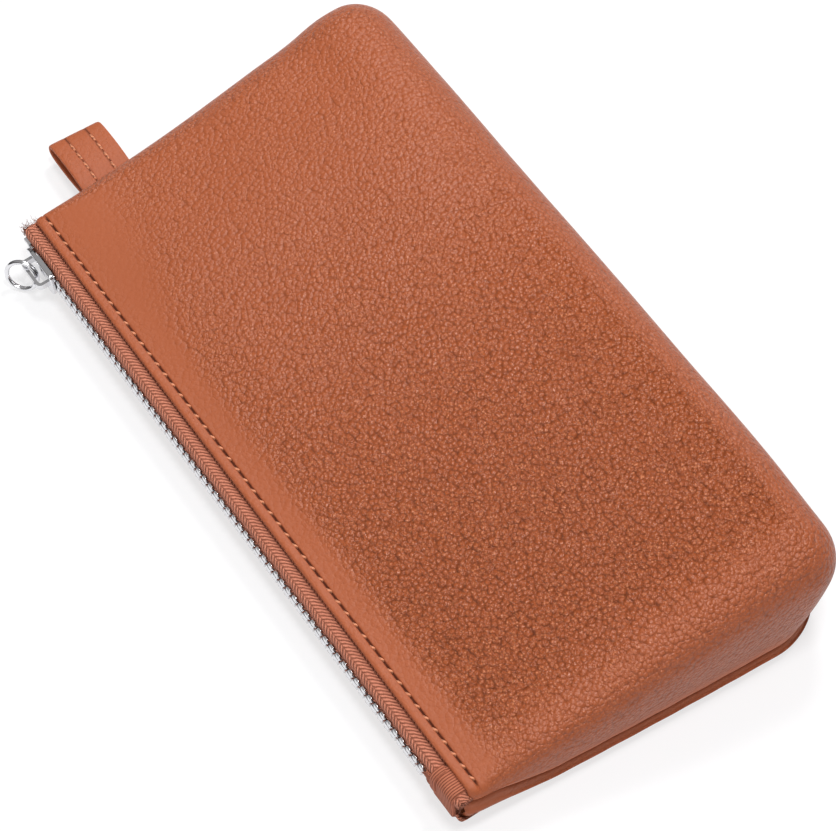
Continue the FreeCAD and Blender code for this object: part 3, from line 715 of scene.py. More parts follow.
# The leather turned in at the seam: how deep, and how far from the seam, with the
# painted shade in its crease and the painted highlight along its edge.
TURNED_EDGE = [(2.6, 0.10), (1.3, 0.16), (0.55, 0.55), (0.16, 1.20), (0.02, 2.1)]
SEAM_CREASE_SHADE = (1.0, 0.70, 0.05, 0.0, 0.0)
SEAM_HIGHLIGHT = (0.0, 0.3, 1.6, 2.0, 1.0)


def panel_mesh(form, upper):
    """One leather panel: folded mouth edge, walls with turned seam edges, and its broad face."""
    lip = UPPER_LIP if upper else LOWER_LIP
    weft = Weft()
    front_rows = [MOUTH_Y + offset for offset, _ in lip]
    sides = {}
    for sign in (-1, 1):
        sides[sign] = form.side_column(front_rows, sign)
    base = form.base_row(ACROSS)

    def profile(spots_here, row):
        """Points from the seam to the inner end of the roll, at one place of the border."""
        low_place, place, normal = spots_here
        y = place.y
        seam = form.seam(y)
        lipped = row is not None and row < len(lip)
        ground = form.lift(place.x, y)
        if upper:
            radius = form.edge(y)
            inner_y = y - normal.y * radius
            top = form.top(place.x, inner_y)
            if lipped:
                offset, rise = lip[row]
                top = MOUTH_TOP + rise if offset < LIP_END else top + rise
            seam = min(seam, top - SEAM_GAP)
            radius = min(radius, (top - seam) * 0.62)
        else:
            radius = 3.2
            top = ground
            if lipped:
                top = ground + lip[row][1]
            radius = min(radius, (seam - top) * 0.7)
            if seam - top < SEAM_GAP:
                seam = top + SEAM_GAP
                radius = 0.8
        direction = 1 if upper else -1
        height = abs(top - seam)
        pull_in = 0.0
        if lipped and row < 8:
            pull_in = 0.9 * (1 - min(1.0, lip[row][0] / 1.4)) ** 2 if row >= 3 else 0.9
        spots = []
        edge_share = min(1.0, height / 6.0)
        for depth, away in TURNED_EDGE:
            spots.append((depth * edge_share + pull_in, seam + direction * away * edge_share))
        wall_start = spots[-1][1]
        wall_end = top - direction * radius
        swell = 0.35 * min(1.0, height / 14) if upper else 0.6
        for step in range(1, 5):
            share = step / 5
            out = -swell * math.sin(math.pi * share)
            spots.append((out + pull_in, wall_start + (wall_end - wall_start) * share))
        for step in range(0, 7):
            angle = math.pi / 2 * step / 6
            spots.append((radius * (1 - math.cos(angle)) + pull_in,
                          wall_end + direction * radius * math.sin(angle)))
        pucker = 0.16 * math.sin(0.9 * (place.x + place.y)) * min(1.0, height / 8)
        points = []
        paints = []
        for number, (depth, z) in enumerate(spots):
            near_seam = max(0.0, 1 - abs(z - seam) / 6)
            depth += pucker * near_seam if number > 2 else 0.0
            climbed = min(1.0, max(0.0, (z - wall_start) / max(1.0, wall_end - wall_start)))
            spot = low_place.lerp(place, climbed if upper else 0.0) - normal * depth
            if lipped and not upper:
                spot.y -= form.pout(spot.x, lip[row][0])
            points.append((spot.x, spot.y, z))
            turned = number < len(TURNED_EDGE)
            # painted shade in the seam's crease, and a faint painted shade over the lower panel's
            # walls
            crease_shade = SEAM_CREASE_SHADE[number] if turned else 0.0
            if not upper and number > 2:
                crease_shade = 0.10
            grain = 0.30 + 0.40 * eased(abs(z - seam), 1.5, 9)
            # painted highlight along the upper panel's turned seam edge
            edge_highlight = SEAM_HIGHLIGHT[number] if turned and upper else 0.0
            if lipped and row < 14:
                grain = 0.12
            paints.append((grain, crease_shade, edge_highlight))
        return points, paints

    columns = {}
    for sign in (-1, 1):
        columns[sign] = [profile(spots, row) for row, spots in enumerate(sides[sign])]
    base_profiles = [profile(spots, None) for spots in base]

    # inner border of the roll, which the broad face fills
    left = [Vector(points[-1][:2]) for points, _ in columns[-1]]
    right = [Vector(points[-1][:2]) for points, _ in columns[1]]
    rear = [Vector(points[-1][:2]) for points, _ in base_profiles]
    start = len(lip) - 1
    front = [left[start].lerp(right[start], i / ACROSS) for i in range(ACROSS + 1)]
    if len(rear) != ACROSS + 1:
        raise RuntimeError("the base row has %d places instead of %d" % (len(rear), ACROSS + 1))
    plan = coons(left[start:], right[start:], front, rear)

    def face_paint(x, y):
        """Grain of the broad face: smooth along the mouth, deeper towards the open end."""
        smooth_band = 5.0 + 7.0 * eased(-x, 30, 85)
        near_mouth = eased(y, MOUTH_Y + smooth_band, MOUTH_Y + smooth_band * 1.6 + 5)
        far = 0.46 + 0.84 * eased(x, -80, 60)
        near_end = 1 - 0.55 * eased(x, 76, 92)
        return (0.09 + 0.91 * near_mouth * far * near_end, 0.0, 0.0)

    grid = []
    for row in range(start):
        left_end = columns[-1][row][0][-1]
        right_end = columns[1][row][0][-1]
        points = []
        paints = []
        for i in range(ACROSS + 1):
            share = i / ACROSS
            x = left_end[0] + (right_end[0] - left_end[0]) * share
            y = left_end[1] + (right_end[1] - left_end[1]) * share
            offset, rise = lip[row]
            if upper:
                z = MOUTH_TOP + rise if offset < LIP_END else form.top(x, y) + rise
            else:
                z = form.lift(x, y) + rise
            wave = 0.10 * noise.noise(Vector((x * 0.16, 1.7, 0.4)))
            z += wave if 0.5 < offset < 4.0 else 0.0
            y -= 0.0 if upper or i in (0, ACROSS) else form.pout(x, offset)
            # painted shade in the stitch groove
            hole = 1.0 if abs(offset - form.stitch) < 0.25 else 0.0
            points.append((x, y, z))
            # painted highlight along the folded mouth edge
            edge_highlight = 0.45 if offset < 0.7 and row > 2 else 0.0
            paints.append((0.18, hole, edge_highlight * 0.5))
        grid.append(weft.row(points, paints))
    height_at = form.top if upper else form.lift
    for row in plan:
        points = [(p.x, p.y, height_at(p.x, p.y)) for p in row]
        paints = [face_paint(p.x, p.y) for p in row]
        grid.append(weft.row(points, paints))
    for first, second in zip(grid, grid[1:]):
        weft.strip(first, second)
    # walls on the short sides, joined to the first and last columns of the broad face
    inner = {-1: [row[0] for row in grid], 1: [row[-1] for row in grid]}
    last_column = {}
    for sign in (-1, 1):
        before = None
        for row, (points, paints) in enumerate(columns[sign]):
            line = weft.row(points[:-1], paints[:-1]) + [inner[sign][row]]
            if before is not None:
                weft.strip(before, line)
            before = line
        last_column[sign] = before
    before = last_column[-1]
    for number in range(1, len(base_profiles) - 1):
        points, paints = base_profiles[number]
        line = weft.row(points[:-1], paints[:-1]) + [grid[-1][number]]
        weft.strip(before, line)
        before = line
    weft.strip(before, last_column[1])
    return weft


# ---------------------------------------------------------------- zip

UPPER_BEND = 1.3
LOWER_BEND = 0.8
UPPER_TOOTH = 1.25
LOWER_TOOTH = 1.9
TAPE_REACH = 2.05
CORD_PLACE = 1.55
LEAN_SIN = math.sin(CHAIN_LEAN)
LEAN_COS = math.cos(CHAIN_LEAN)


def chain_spot(outward, up):
    """Y and Z of a place in the chain's own leaning plane."""
    return (CHAIN_Y - outward * LEAN_COS - up * LEAN_SIN,
            CHAIN_Z - outward * LEAN_SIN + up * LEAN_COS)


def bent_line(start_y, level, end_up, radius, side):
    """Centre line of a tape: back from under the hem, over its bend, along the chain."""
    rise = (level - CHAIN_Z) / LEAN_COS
    corner = Vector((CHAIN_Y - rise * LEAN_SIN, level))
    flat = Vector((1.0, 0.0))
    down = Vector((LEAN_SIN, -LEAN_COS)) * side
    turn = math.pi - flat.angle(down)
    reach = radius * math.tan(turn / 2)
    middle = (flat + down).normalized()
    centre = corner + middle * (radius / math.cos(turn / 2))
    first = corner + flat * reach
    last = corner + down * reach
    line = []
    for step in range(5):
        line.append(Vector((start_y, level)).lerp(first, step / 5))
    a = first - centre
    b = last - centre
    for step in range(7):
        spin = a.angle_signed(b) * step / 6
        line.append(centre + Matrix.Rotation(-spin, 2) @ a)
    end = Vector(chain_spot(0, end_up))
    for step in range(1, 4):
        line.append(last.lerp(end, step / 3))
    return line


def offset_line(line, distance):
    """The same line shifted to its left."""
    moved = []
    for i, spot in enumerate(line):
        ahead = line[min(i + 1, len(line) - 1)] - line[max(i - 1, 0)]
        normal = Vector((-ahead.y, ahead.x)).normalized()
        moved.append(spot + normal * distance)
    return moved


def woven_sheet(line, thickness, left, right, pitch, wander, seed):
    """A woven band with a cross-section line in Y and Z, drawn along X."""
    weft = Weft()
    outer = offset_line(line, thickness / 2)
    inner = offset_line(line, -thickness / 2)
    ring = outer + inner[::-1]
    lengths = [0.0]
    for a, b in zip(line, line[1:]):
        lengths.append(lengths[-1] + (b - a).length)
    total = lengths + lengths[::-1]
    count = max(2, int(abs(right - left) / pitch))
    rows = []
    for number in range(count + 1):
        x = left + (right - left) * number / count
        points = []
        paints = []
        for spot, across in zip(ring, total):
            wave = wander * noise.noise(Vector((x * 0.12, across * 0.3, seed)))
            points.append((x, spot.x + wave * 0.6, spot.y + wave))
            paints.append((x, across, 0.0))
        rows.append(weft.row(points, paints))
    for first, second in zip(rows, rows[1:]):
        weft.strip(first, second, closed=True)
    weft.cap(rows[0])
    weft.cap(rows[-1])
    return weft


def make_tape(name, level, radius, side):
    """One woven tape, from under its hem to the teeth."""
    line = bent_line(MOUTH_Y + 4.7, level, side * TAPE_REACH, radius, side)
    weft = woven_sheet(line, TAPE_THICK, -MOUTH_HALF, MOUTH_HALF, 1.6, 0.14, 2.0 + side)
    return weft.make(name, "zip_tape", "weave", 1)


def make_cord(name, side):
    """The edge cord in the tape, wrapped by its thread."""
    weft = Weft()
    centre_y, centre_z = chain_spot(0, side * CORD_PLACE)
    left = TEETH_LOW.x
    right = TEETH_HIGH.x
    count = int((right - left) / 0.55)
    rings = []
    paints = []
    for number in range(count + 1):
        x = left + (right - left) * number / count
        radius = 0.41 + 0.035 * math.sin(number * 2.1)
        rings.append([(x, centre_y + radius * math.cos(angle), centre_z + radius * math.sin(angle))
                      for angle in turns(8)])
        paints.append([(x, angle * 0.45, 0.0) for angle in turns(8)])
    weft.tube(rings, paints)
    return weft.make(name, "zip_tape", "weave")


def bevelled(name, outlines, slot, bevel):
    """One object of flat plates, each an outline pulled to a depth, with rounded edges."""
    shape = bmesh.new()
    for corners, direction in outlines:
        verts = [shape.verts.new(Vector(c) * MM) for c in corners]
        face = shape.faces.new(verts)
        pulled = bmesh.ops.extrude_face_region(shape, geom=[face])
        moved = [g for g in pulled["geom"] if isinstance(g, bmesh.types.BMVert)]
        bmesh.ops.translate(shape, verts=moved, vec=Vector(direction) * MM)
    bmesh.ops.recalc_face_normals(shape, faces=shape.faces)
    sharp = [e for e in shape.edges if len(e.link_faces) == 2 and e.calc_face_angle(0) > 0.5]
    bmesh.ops.bevel(shape, geom=sharp, offset=bevel * MM, segments=2, profile=0.6,
                    affect="EDGES", clamp_overlap=True)
    mesh = bpy.data.meshes.new(name)
    shape.to_mesh(mesh)
    shape.free()
    return link_smooth(name, mesh, slot)


def chain_point(x, outward, up):
    """A point on the chain, with X along it."""
    y, z = chain_spot(outward, up)
    return (x, y, z)


def make_teeth(name, side, first, last, pitch, width):
    """A row of teeth: two legs over the tape edge, round shoulders and a narrow head."""
    outlines = []
    count = int(round((last - first) / pitch))
    half = 1.06
    form = [
        (-half, 2.88), (-half, 1.05), (-half + 0.4, 0.46), (half - 0.2, 0.46), (half + 0.14, 1.05),
        (half + 0.14, 2.70), (0.62, 2.98), (0.54, 1.15), (-0.54, 1.15), (-0.62, 2.98),
    ]
    for number in range(count + 1):
        x = first + number * pitch - width / 2
        corners = [chain_point(x, o, side * u) for o, u in form]
        outlines.append((corners, (width, 0, 0)))
    return bevelled(name, outlines, "chain_metal", 0.20)


def squared(value):
    """A sine or cosine pushed outwards, so that a ring comes nearer to a square."""
    return math.copysign(abs(value) ** 0.7, value)


def make_end_stop():
    """The sewn bar past the last tooth: thread wrapped over both tapes."""
    weft = Weft()
    rings = []
    paints = []
    middle = (STOP_LOW.x + STOP_HIGH.x) / 2
    half = (STOP_HIGH.x - STOP_LOW.x) / 2
    steps = 44
    for number in range(steps + 1):
        share = number / steps
        up = 3.35 - 6.3 * share
        round_end = math.sqrt(max(0.0, 1 - abs(2 * share - 1) ** 5))
        ridge = 1 + 0.07 * math.sin(number * math.pi / 2)
        ring = []
        paint = []
        for angle in turns(16):
            wide = (half - 0.1) * squared(math.cos(angle))
            deep = 1.02 * squared(math.sin(angle))
            ring.append(chain_point(middle + wide * ridge * (0.35 + 0.65 * round_end),
                                    deep * ridge * (0.2 + 0.8 * round_end), up))
            paint.append((up * 1.9, angle * 0.5, 0.0))
        rings.append(ring)
        paints.append(paint)
    weft.tube(rings, paints)
    return weft.make("Sewn_stop", "end_ribbon", "weave", 1)


def make_end_tab():
    """Ribbed ribbon wrapped round the open end of the zip."""
    over = 0.66
    above = offset_line(bent_line(MOUTH_Y + 0.8, UPPER_TAPE_Z, 0.2, UPPER_BEND, 1), -over)
    below = offset_line(bent_line(MOUTH_Y - 0.2, LOWER_TAPE_Z, -0.2, LOWER_BEND, -1)[::-1], -over)
    line = above + below
    weft = woven_sheet(line, 0.62, TAB_LOW.x + 0.1, TAB_HIGH.x - 0.5, 0.8, 0.10, 9.0)
    # the ribbon's raw end is folded back on itself: a second, narrow layer
    hem_line = offset_line(line[3:len(above) + 2], -0.50)
    fold = woven_sheet(hem_line, 0.5, TAB_LOW.x - 0.2, TAB_LOW.x + 1.9, 0.4, 0.04, 4.0)
    shift = len(weft.points)
    weft.points += fold.points
    weft.painted += fold.painted
    weft.faces += [tuple(i + shift for i in face) for face in fold.faces]
    return weft.make("End_ribbon", "end_ribbon", "weave", 1)


# ---------------------------------------------------------------- sewing

def stitch_rings(start, end, up, radius, arch, slope=0.0):
    """Rings of one stitch that rises out of the leather and dives back in."""
    along = (end - start).normalized()
    side = up.cross(along).normalized()
    rings = []
    paints = []
    steps = 9
    for number in range(steps + 1):
        share = number / steps
        rise = arch * (1 - (2 * share - 1) ** 4) - arch * 0.85
        spot = start.lerp(end, share) + up * rise + side * slope * (share - 0.5)
        fat = radius * (0.72 + 0.28 * math.sqrt(max(0.0, 1 - (2 * share - 1) ** 2)))
        ring = []
        paint = []
        for angle in turns(8):
            two_ply = 1 + 0.10 * math.cos(2 * angle + share * 9)
            offset = side * math.cos(angle) * fat * two_ply + up * math.sin(angle) * fat * two_ply
            ring.append(tuple(spot + offset))
            paint.append((share * (end - start).length, angle, 0.0))
        rings.append(ring)
        paints.append(paint)
    return rings, paints


def sew(name, stitches, radius, arch, slope=0.0):
    """One object of many stitches, each a start, an end and the way up."""
    weft = Weft()
    for start, end, up in stitches:
        rings, paints = stitch_rings(start, end, up, radius, arch, slope)
        weft.tube(rings, paints)
    return weft.make(name, "thread", "weave")


def topstitch(name, form, sizes, upper):
    """The row of stitches along one mouth edge."""
    step = sizes.stitch_pitch / MM
    run = sizes.stitch_length / MM
    y = MOUTH_Y + form.stitch
    count = int(2 * (MOUTH_HALF - step * 0.5) / step)
    stitches = []
    for number in range(count):
        middle = (number + 0.5 - count / 2) * step
        if upper:
            z = MOUTH_TOP - 0.40
            up = Vector((0, 0, 1))
        else:
            z = 0.40 + form.lift(middle, y)
            up = Vector((0, 0, -1))
        stitches.append((Vector((middle - run / 2, y, z)), Vector((middle + run / 2, y, z)), up))
    return sew(name, stitches, sizes.thread_radius / MM, 0.55, 0.75)


def seam_stitches(form, sizes):
    """The lock stitches that join the two panels, deep in the seam."""
    stitches = []
    step = 6.0
    y = MOUTH_Y + 5 + step / 2
    while y < BASE_Y - form.corner:
        for sign in (-1, 1):
            place, _, normal = form.side(y, y, sign)
            spot = place - normal * 1.25
            z = form.seam(y)
            stitches.append((Vector((spot.x, spot.y, z - 1.0)), Vector((spot.x, spot.y, z + 1.0)),
                             Vector((normal.x, normal.y, 0))))
        y += step
    span = form.half(BASE_Y) - form.corner
    count = int(2 * span / step)
    for number in range(count + 1):
        x = (number - count / 2) * step
        spot = Vector((x, BASE_Y - 1.25, 0))
        stitches.append((spot + Vector((0, 0, SEAM_Z - 1.0)), spot + Vector((0, 0, SEAM_Z + 1.0)),
                         Vector((0, 1, 0))))
    return sew("Seam_thread", stitches, sizes.thread_radius / MM, 0.2)


# ---------------------------------------------------------------- loop

STRAP_ROOT = STRAP_HIGH.x
STRAP_TIP = STRAP_LOW.x - 0.8
STRAP_HALF = (STRAP_HIGH.y - STRAP_LOW.y) / 2
STRAP_THICK = 1.15
STRAP_ROW = 0.40  # place of a stitch row, as a share of half the strap's width


def strap_line():
    """The folded strap's centre line in X and Z: out on top, round the tip and back below."""
    upper = [
        (STRAP_ROOT + 0.2, 0.62), (STRAP_ROOT - 2.0, 0.72), (STRAP_ROOT - 4.5, 1.10),
        (STRAP_ROOT - 7.5, 1.60), (STRAP_ROOT - 11.0, 1.95), (STRAP_ROOT - 14.5, 1.95),
        (STRAP_TIP + 3.2, 1.78), (STRAP_TIP + 1.6, 1.45), (STRAP_TIP + 0.75, 0.85),
    ]
    tip = [(STRAP_TIP + 0.58, 0.0)]
    lower = [(x, -z) for x, z in reversed(upper)]
    return [Vector((x, SEAM_Z + z)) for x, z in upper + tip + lower]


def strap_height(line, x, upper):
    """Height of the strap's outer face over a place along X."""
    half = line[: len(line) // 2 + 1]
    spot = half[-1].y
    for a, b in zip(half, half[1:]):
        if min(a.x, b.x) <= x <= max(a.x, b.x):
            spot = a.y + (b.y - a.y) * (x - a.x) / (b.x - a.x)
            break
    lifted = spot - SEAM_Z + STRAP_THICK / 2
    return SEAM_Z + lifted if upper else SEAM_Z - lifted


def make_strap():
    """The folded strap, with a groove under each row of stitches."""
    weft = Weft()
    line = strap_line()
    fine = []
    for a, b in zip(line, line[1:]):
        for step in range(3):
            fine.append(a.lerp(b, step / 3))
    fine.append(line[-1])
    half = STRAP_THICK / 2
    section = [
        (-1.0, -0.3), (-1.0, 0.3), (-0.985, 0.72), (-0.93, 0.98), (-0.80, 1.0), (-0.58, 0.97),
        (-0.44, 0.97), (-STRAP_ROW, 0.80), (-0.36, 0.97), (0.0, 1.0), (0.36, 0.97),
        (STRAP_ROW, 0.80), (0.44, 0.97), (0.58, 0.97), (0.80, 1.0), (0.93, 0.98),
        (0.985, 0.72), (1.0, 0.3), (1.0, -0.3),
        (0.985, -0.75), (0.9, -1.0), (0.0, -1.0), (-0.9, -1.0), (-0.985, -0.75),
    ]
    rings = []
    paints = []
    run = 0.0
    for i, spot in enumerate(fine):
        ahead = fine[min(i + 1, len(fine) - 1)] - fine[max(i - 1, 0)]
        normal = Vector((ahead.y, -ahead.x)).normalized() * -1
        if i:
            run += (spot - fine[i - 1]).length
        ring = []
        paint = []
        for across, out in section:
            place = spot + normal * out * half * -1
            ring.append((place.x, LOOP_Y + across * STRAP_HALF, place.y))
            # the strap's sides are painted lighter through the edge-highlight value
            edge = 0.55 if abs(across) > 0.97 else 0.0
            # painted shade in the groove under each stitch row
            crease_shade = 1.0 if abs(abs(across) - STRAP_ROW) < 0.01 and out > 0 else 0.0
            grain = 0.16 if out > 0 else 0.1
            paint.append((grain, crease_shade, edge))
        rings.append(ring)
        paints.append(paint)
    weft.tube(rings, paints)
    return weft.make("Hanging_loop", "loop_leather", "skin", 1)


def make_strap_tail():
    """The strap's two sewn ends between the panels."""
    weft = Weft()
    section = [(-1, -0.8), (-0.97, -1), (0.97, -1), (1, -0.8),
               (1, 0.8), (0.97, 1), (-0.97, 1), (-1, 0.8)]
    rings = [[(inward - MOUTH_HALF, LOOP_Y + y * (STRAP_HALF - 0.1), SEAM_Z + z * STRAP_THICK)
              for y, z in section] for inward in (-1.2, 0.5, 3, 5.7)]
    weft.tube(rings, [[(0.2, 0.0, 0.0)] * len(section)] * len(rings))
    return weft.make("Loop_tail", "loop_leather", "skin")


def strap_stitches(sizes):
    """Two rows of stitches on both faces of the strap."""
    line = strap_line()
    step = 3.3
    run = 2.4
    stitches = []
    for row in (-STRAP_ROW, STRAP_ROW):
        y = LOOP_Y + row * STRAP_HALF
        for number in range(5):
            near = STRAP_ROOT - 1.4 - number * step
            for upper in (True, False):
                ends = []
                for x in (near, near - run):
                    z = strap_height(line, x, upper)
                    ends.append(Vector((x, y, z - 0.02 if upper else z + 0.02)))
                stitches.append((ends[0], ends[1], Vector((0, 0, 1 if upper else -1))))
    return sew("Loop_stitching", stitches, sizes.thread_radius / MM * 0.92, 0.30, 0.2)


# ---------------------------------------------------------------- operators

class PouchOperator(bpy.types.Operator):
    """Shared parts of the operators below."""

    bl_options = {"REGISTER", "UNDO"}

    def execute(self, context):
        self.make(context.scene.pouch_sizes)
        return {"FINISHED"}


class POUCH_OT_leather(PouchOperator):
    """Make the two leather panels with their folded mouth edges and seams"""

    bl_idname = "pouch.leather"
    bl_label = "Leather panels"

    def make(self, sizes):
        form = Form(sizes)
        for name, upper, node in (("Upper_leather", True, "upper_panel"),
                                  ("Lower_leather", False, "lower_panel")):
            weft = panel_mesh(form, upper)
            panel = weft.make(name, "leather", "skin", 2)
            stand_for(panel, "pouch", "leather", node)


class POUCH_OT_lining(PouchOperator):
    """Make the two cloth linings inside the leather"""

    bl_idname = "pouch.lining"
    bl_label = "Linings"

    def make(self, sizes):
        form = Form(sizes)
        for name, upper, node in (("Upper_lining_cloth", True, "upper_lining"),
                                  ("Lower_lining_cloth", False, "lower_lining")):
            weft = panel_mesh(form, upper)
            points = []
            for x, y, z in weft.points:
                inward = 1.6 if upper else -1.6
                level = max(SEAM_Z + 0.6, z - inward) if upper else min(SEAM_Z - 0.6, z - inward)
                shrink_x = x * (1 - 2.0 / MOUTH_HALF)
                front = MOUTH_Y + 6.2
                shifted = front + (y - MOUTH_Y) * (BASE_Y - 1.7 - front) / (BASE_Y - MOUTH_Y)
                points.append((shrink_x, shifted, level))
            weft.points = points
            cloth = weft.make(name, "lining", "skin")
            stand_for(cloth, "pouch", "lining", node)


class POUCH_OT_tapes(PouchOperator):
    """Make the woven tapes, their edge cords and the frayed end"""

    bl_idname = "pouch.tapes"
    bl_label = "Zip tapes"

    def make(self, sizes):
        for name, level, bend, side, node in (
                ("Upper_zip_tape", UPPER_TAPE_Z, UPPER_BEND, 1, "upper_tape"),
                ("Lower_zip_tape", LOWER_TAPE_Z, LOWER_BEND, -1, "lower_tape")):
            stand_for(make_tape(name, level, bend, side), "pouch", "zip_tape", node)
        for name, side, node in (("Upper_edge_cord", 1, "upper_cord"),
                                 ("Lower_edge_cord", -1, "lower_cord")):
            stand_for(make_cord(name, side), "pouch", "zip_tape", node)
        weft = Weft()
        self.fray(weft, -1, 60, 1.0)
        self.fray(weft, 1, 40, 0.45)
        loose = weft.make("Frayed_threads", "zip_tape", "weave")
        stand_for(loose, "pouch", "zip_tape")

    def fray(self, weft, sign, count, reach):
        """Loose threads at a cut end of the tapes."""
        line = bent_line(MOUTH_Y + 1.0, UPPER_TAPE_Z, TAPE_REACH, UPPER_BEND, 1)
        for number in range(count):
            share = (number + 0.5) / count
            spot = line[min(len(line) - 1, int(share * len(line)))]
            key = number * 1.37 + sign
            drift = Vector((noise.noise(Vector((key, 0.3, 0.1))),
                            noise.noise(Vector((key, 5.3, 2.1)))))
            length = reach * (0.5 + 2.6 * abs(noise.noise(Vector((key, 9.1, 4.4)))))
            rings = []
            paints = []
            for step in range(5):
                run = step / 4
                x = sign * (MOUTH_HALF - 0.4 + length * run)
                y = spot.x + drift.x * 1.6 * run + 0.25 * math.sin(key + run * 4)
                z = spot.y + drift.y * 2.0 * run + 0.35 * run * run * math.cos(key * 2)
                size = 0.06 * (1 - 0.5 * run)
                rings.append([(x, y + size * math.cos(angle), z + size * math.sin(angle))
                              for angle in turns(5)])
                paints.append([(x * 3, corner * 0.2, 0.0) for corner in range(5)])
            weft.tube(rings, paints)


class POUCH_OT_chain(PouchOperator):
    """Make the teeth, and finish the stops at both ends of the chain"""

    bl_idname = "pouch.chain"
    bl_label = "Chain"

    def make(self, sizes):
        pitch = sizes.tooth_pitch / MM
        first = TEETH_LOW.x + UPPER_TOOTH / 2
        last = TEETH_HIGH.x - UPPER_TOOTH / 2
        for name, side, shift, width, node in (
                ("Upper_teeth_row", 1, 0.0, UPPER_TOOTH, "upper_teeth"),
                ("Lower_teeth_row", -1, pitch / 2, LOWER_TOOTH, "lower_teeth")):
            teeth = make_teeth(name, side, first + shift, last - shift, pitch, width)
            stand_for(teeth, "pouch", "chain_metal", node)
        stand_for(make_end_stop(), "pouch", "end_ribbon", "bottom_stop")
        refinish("top_stops", "chain_metal")


class POUCH_OT_ribbon(PouchOperator):
    """Make the ribbed ribbon over the zip's open end"""

    bl_idname = "pouch.ribbon"
    bl_label = "End ribbon"

    def make(self, sizes):
        stand_for(make_end_tab(), "pouch", "end_ribbon", "zip_end_tab")


class POUCH_OT_slider(PouchOperator):
    """Finish the slider, its crown and the ring pull"""

    bl_idname = "pouch.slider"
    bl_label = "Slider and ring"

    def make(self, sizes):
        for node in ("slider_body", "slider_crown", "pull_ring"):
            refinish(node, "slider_metal")


class POUCH_OT_sewing(PouchOperator):
    """Sew the top stitching and the seams"""

    bl_idname = "pouch.sewing"
    bl_label = "Sewing"

    def make(self, sizes):
        form = Form(sizes)
        for name, upper, node in (("Upper_top_stitching", True, "upper_topstitch"),
                                  ("Lower_top_stitching", False, "lower_topstitch")):
            stand_for(topstitch(name, form, sizes, upper), "pouch", "thread", node)
        stand_for(seam_stitches(form, sizes), "pouch", "thread", "seam_thread")


class POUCH_OT_loop(PouchOperator):
    """Make the folded hanging loop and its stitching"""

    bl_idname = "pouch.loop"
    bl_label = "Hanging loop"

    def make(self, sizes):
        for piece, node, slot in ((make_strap(), "loop_strap", "loop_leather"),
                                  (strap_stitches(sizes), "loop_stitches", "thread")):
            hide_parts(node)
            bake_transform(piece)
        stand_for(make_strap_tail(), "pouch", "loop_leather", "loop_tail")


WHITE = (1.0, 1.0, 1.0, 1.0)
ROOM = (1.0, 0.98, 0.97, 1.0)
LAMP_AIM = Vector((0.0, 0.0, 0.01))
# each lamp's name, direction, distance in metres, width in metres and power in watts
LAMPS = (
    ("Back_softbox", (-0.40, 0.42, 0.83), 0.95, 0.22, 4.9),
    ("Top_softbox", (0.10, 0.02, 1.0), 0.95, 0.22, 5.0),
    ("Front_softbox", (0.6, -0.9, 0.75), 1.2, 0.5, 2.6),
)


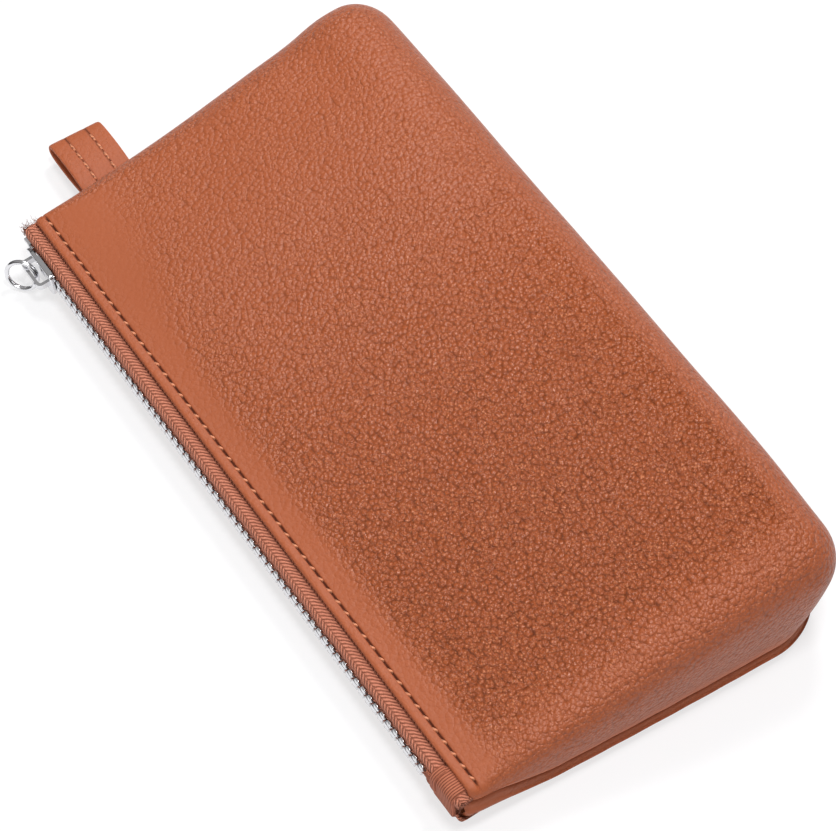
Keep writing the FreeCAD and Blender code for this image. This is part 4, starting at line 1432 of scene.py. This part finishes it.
class POUCH_OT_stage(PouchOperator):
    """Set the pale table, the soft lamps and the camera"""

    bl_idname = "pouch.stage"
    bl_label = "Stage"

    def make(self, sizes):
        self.table()
        self.lamps()
        self.camera()
        bpy.context.scene.view_settings.view_transform = "Standard"

    def table(self):
        """A pale table that glows to the camera and in the nickel, and keeps the shadow."""
        mesh = bpy.data.meshes.new("Table")
        reach = 1.6
        mesh.from_pydata([(-reach, -reach, 0), (reach, -reach, 0), (reach, reach, 0),
                          (-reach, reach, 0)], [], [(0, 1, 2, 3)])
        floor = bpy.data.objects.new("Table", mesh)
        floor.location.z = -0.00015
        bpy.context.scene.collection.objects.link(floor)
        paint = Paint("White_table")
        paint.finish(Base_Color=(0.90, 0.895, 0.92, 1.0), Roughness=0.65, Specular_IOR_Level=0.2)
        path = paint.add("ShaderNodeLightPath")
        seen = Value(paint, path.outputs["Is Camera Ray"])
        mirrored = Value(paint, path.outputs["Is Glossy Ray"])
        glow = paint.add("ShaderNodeEmission", None, {"Color": WHITE, "Strength": 1.0}).outputs[0]
        mixed = paint.mix((seen + mirrored).at_most(1.0) * 0.68, paint.surface.outputs[0], glow)
        paint.fill(paint.out.inputs["Surface"], mixed)
        mesh.materials.append(paint.material)

    def lamps(self):
        """Three soft lamps in a dim room that is darker near the ground, on white."""
        world = bpy.data.worlds.new("Studio")
        bpy.context.scene.world = world
        world.use_nodes = True
        studio = Shader(world.node_tree)
        path = studio.add("ShaderNodeLightPath")
        seen = Value(studio, path.outputs["Is Camera Ray"])
        mirrored = Value(studio, path.outputs["Is Glossy Ray"])
        height = studio.axes(studio.add("ShaderNodeTexCoord").outputs["Generated"])[2]
        room, ground, white = (
            studio.add("ShaderNodeBackground", None, {"Color": c, "Strength": strength}).outputs[0]
            for c, strength in ((ROOM, 0.33), (ROOM, 0.05), (WHITE, 1.0)))
        lit = studio.mix(height.step(0.75, 0.15) * mirrored, room, ground)
        studio.add("ShaderNodeOutputWorld", None, {"Surface": studio.mix(seen, lit, white)})
        for name, direction, distance, size, power in LAMPS:
            lamp = bpy.data.lights.new(name, "AREA")
            lamp.shape = "SQUARE"
            lamp.size = size
            lamp.energy = power
            thing = bpy.data.objects.new(name, lamp)
            thing.location = LAMP_AIM + Vector(direction).normalized() * distance
            thing.rotation_mode = "QUATERNION"
            thing.rotation_quaternion = (LAMP_AIM - thing.location).to_track_quat("-Z", "Y")
            bpy.context.scene.collection.objects.link(thing)

    def camera(self):
        """A long lens from above, with the open end of the zip nearest."""
        azimuth = math.radians(53.81)
        elevation = math.radians(56.47)
        roll = math.radians(2.42)
        target = Vector((0.0047, -0.00437, 0.012))
        distance = 0.7322
        back = Vector((math.sin(azimuth) * math.cos(elevation),
                       -math.cos(azimuth) * math.cos(elevation), math.sin(elevation)))
        right = Vector((math.cos(azimuth), math.sin(azimuth), 0))
        up = back.cross(right)
        across = right * math.cos(roll) + up * math.sin(roll)
        upward = up * math.cos(roll) - right * math.sin(roll)
        data = bpy.data.cameras.new("Camera")
        data.sensor_width = 36
        data.lens = 135.55
        data.clip_start = 0.01
        data.clip_end = 20
        camera = bpy.data.objects.new("Camera", data)
        turn = Matrix((across, upward, back)).transposed().to_4x4()
        camera.matrix_world = Matrix.Translation(target + back * distance) @ turn
        bpy.context.scene.collection.objects.link(camera)
        bpy.context.scene.camera = camera


OPERATORS = (POUCH_OT_leather, POUCH_OT_lining, POUCH_OT_tapes, POUCH_OT_chain, POUCH_OT_ribbon,
             POUCH_OT_slider, POUCH_OT_sewing, POUCH_OT_loop, POUCH_OT_stage)


class POUCH_PT_panel(bpy.types.Panel):
    """Lists the sizes, colours and pieces of the pouch"""

    bl_idname = "POUCH_PT_panel"
    bl_label = "Zipped leather pouch"
    bl_space_type = "VIEW_3D"
    bl_region_type = "UI"
    bl_category = "Pouch"

    def draw(self, context):
        layout = self.layout
        for group in (context.scene.pouch_sizes, context.scene.pouch_colours):
            for name in group.__annotations__:
                layout.prop(group, name)
        for operator in OPERATORS:
            layout.operator(operator.bl_idname)


CLASSES = (PouchSizes, PouchColours, *OPERATORS, POUCH_PT_panel)


def register():
    for thing in CLASSES:
        bpy.utils.register_class(thing)
    bpy.types.Scene.pouch_sizes = PointerProperty(type=PouchSizes)
    bpy.types.Scene.pouch_colours = PointerProperty(type=PouchColours)


def unregister():
    del bpy.types.Scene.pouch_colours
    del bpy.types.Scene.pouch_sizes
    for thing in reversed(CLASSES):
        bpy.utils.unregister_class(thing)


def main():
    """Registers the add-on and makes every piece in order."""
    register()
    bpy.ops.pouch.stage()
    bpy.ops.pouch.leather()
    bpy.ops.pouch.lining()
    bpy.ops.pouch.tapes()
    bpy.ops.pouch.chain()
    bpy.ops.pouch.ribbon()
    bpy.ops.pouch.slider()
    bpy.ops.pouch.sewing()
    bpy.ops.pouch.loop()


if __name__ == "__main__":
    main()
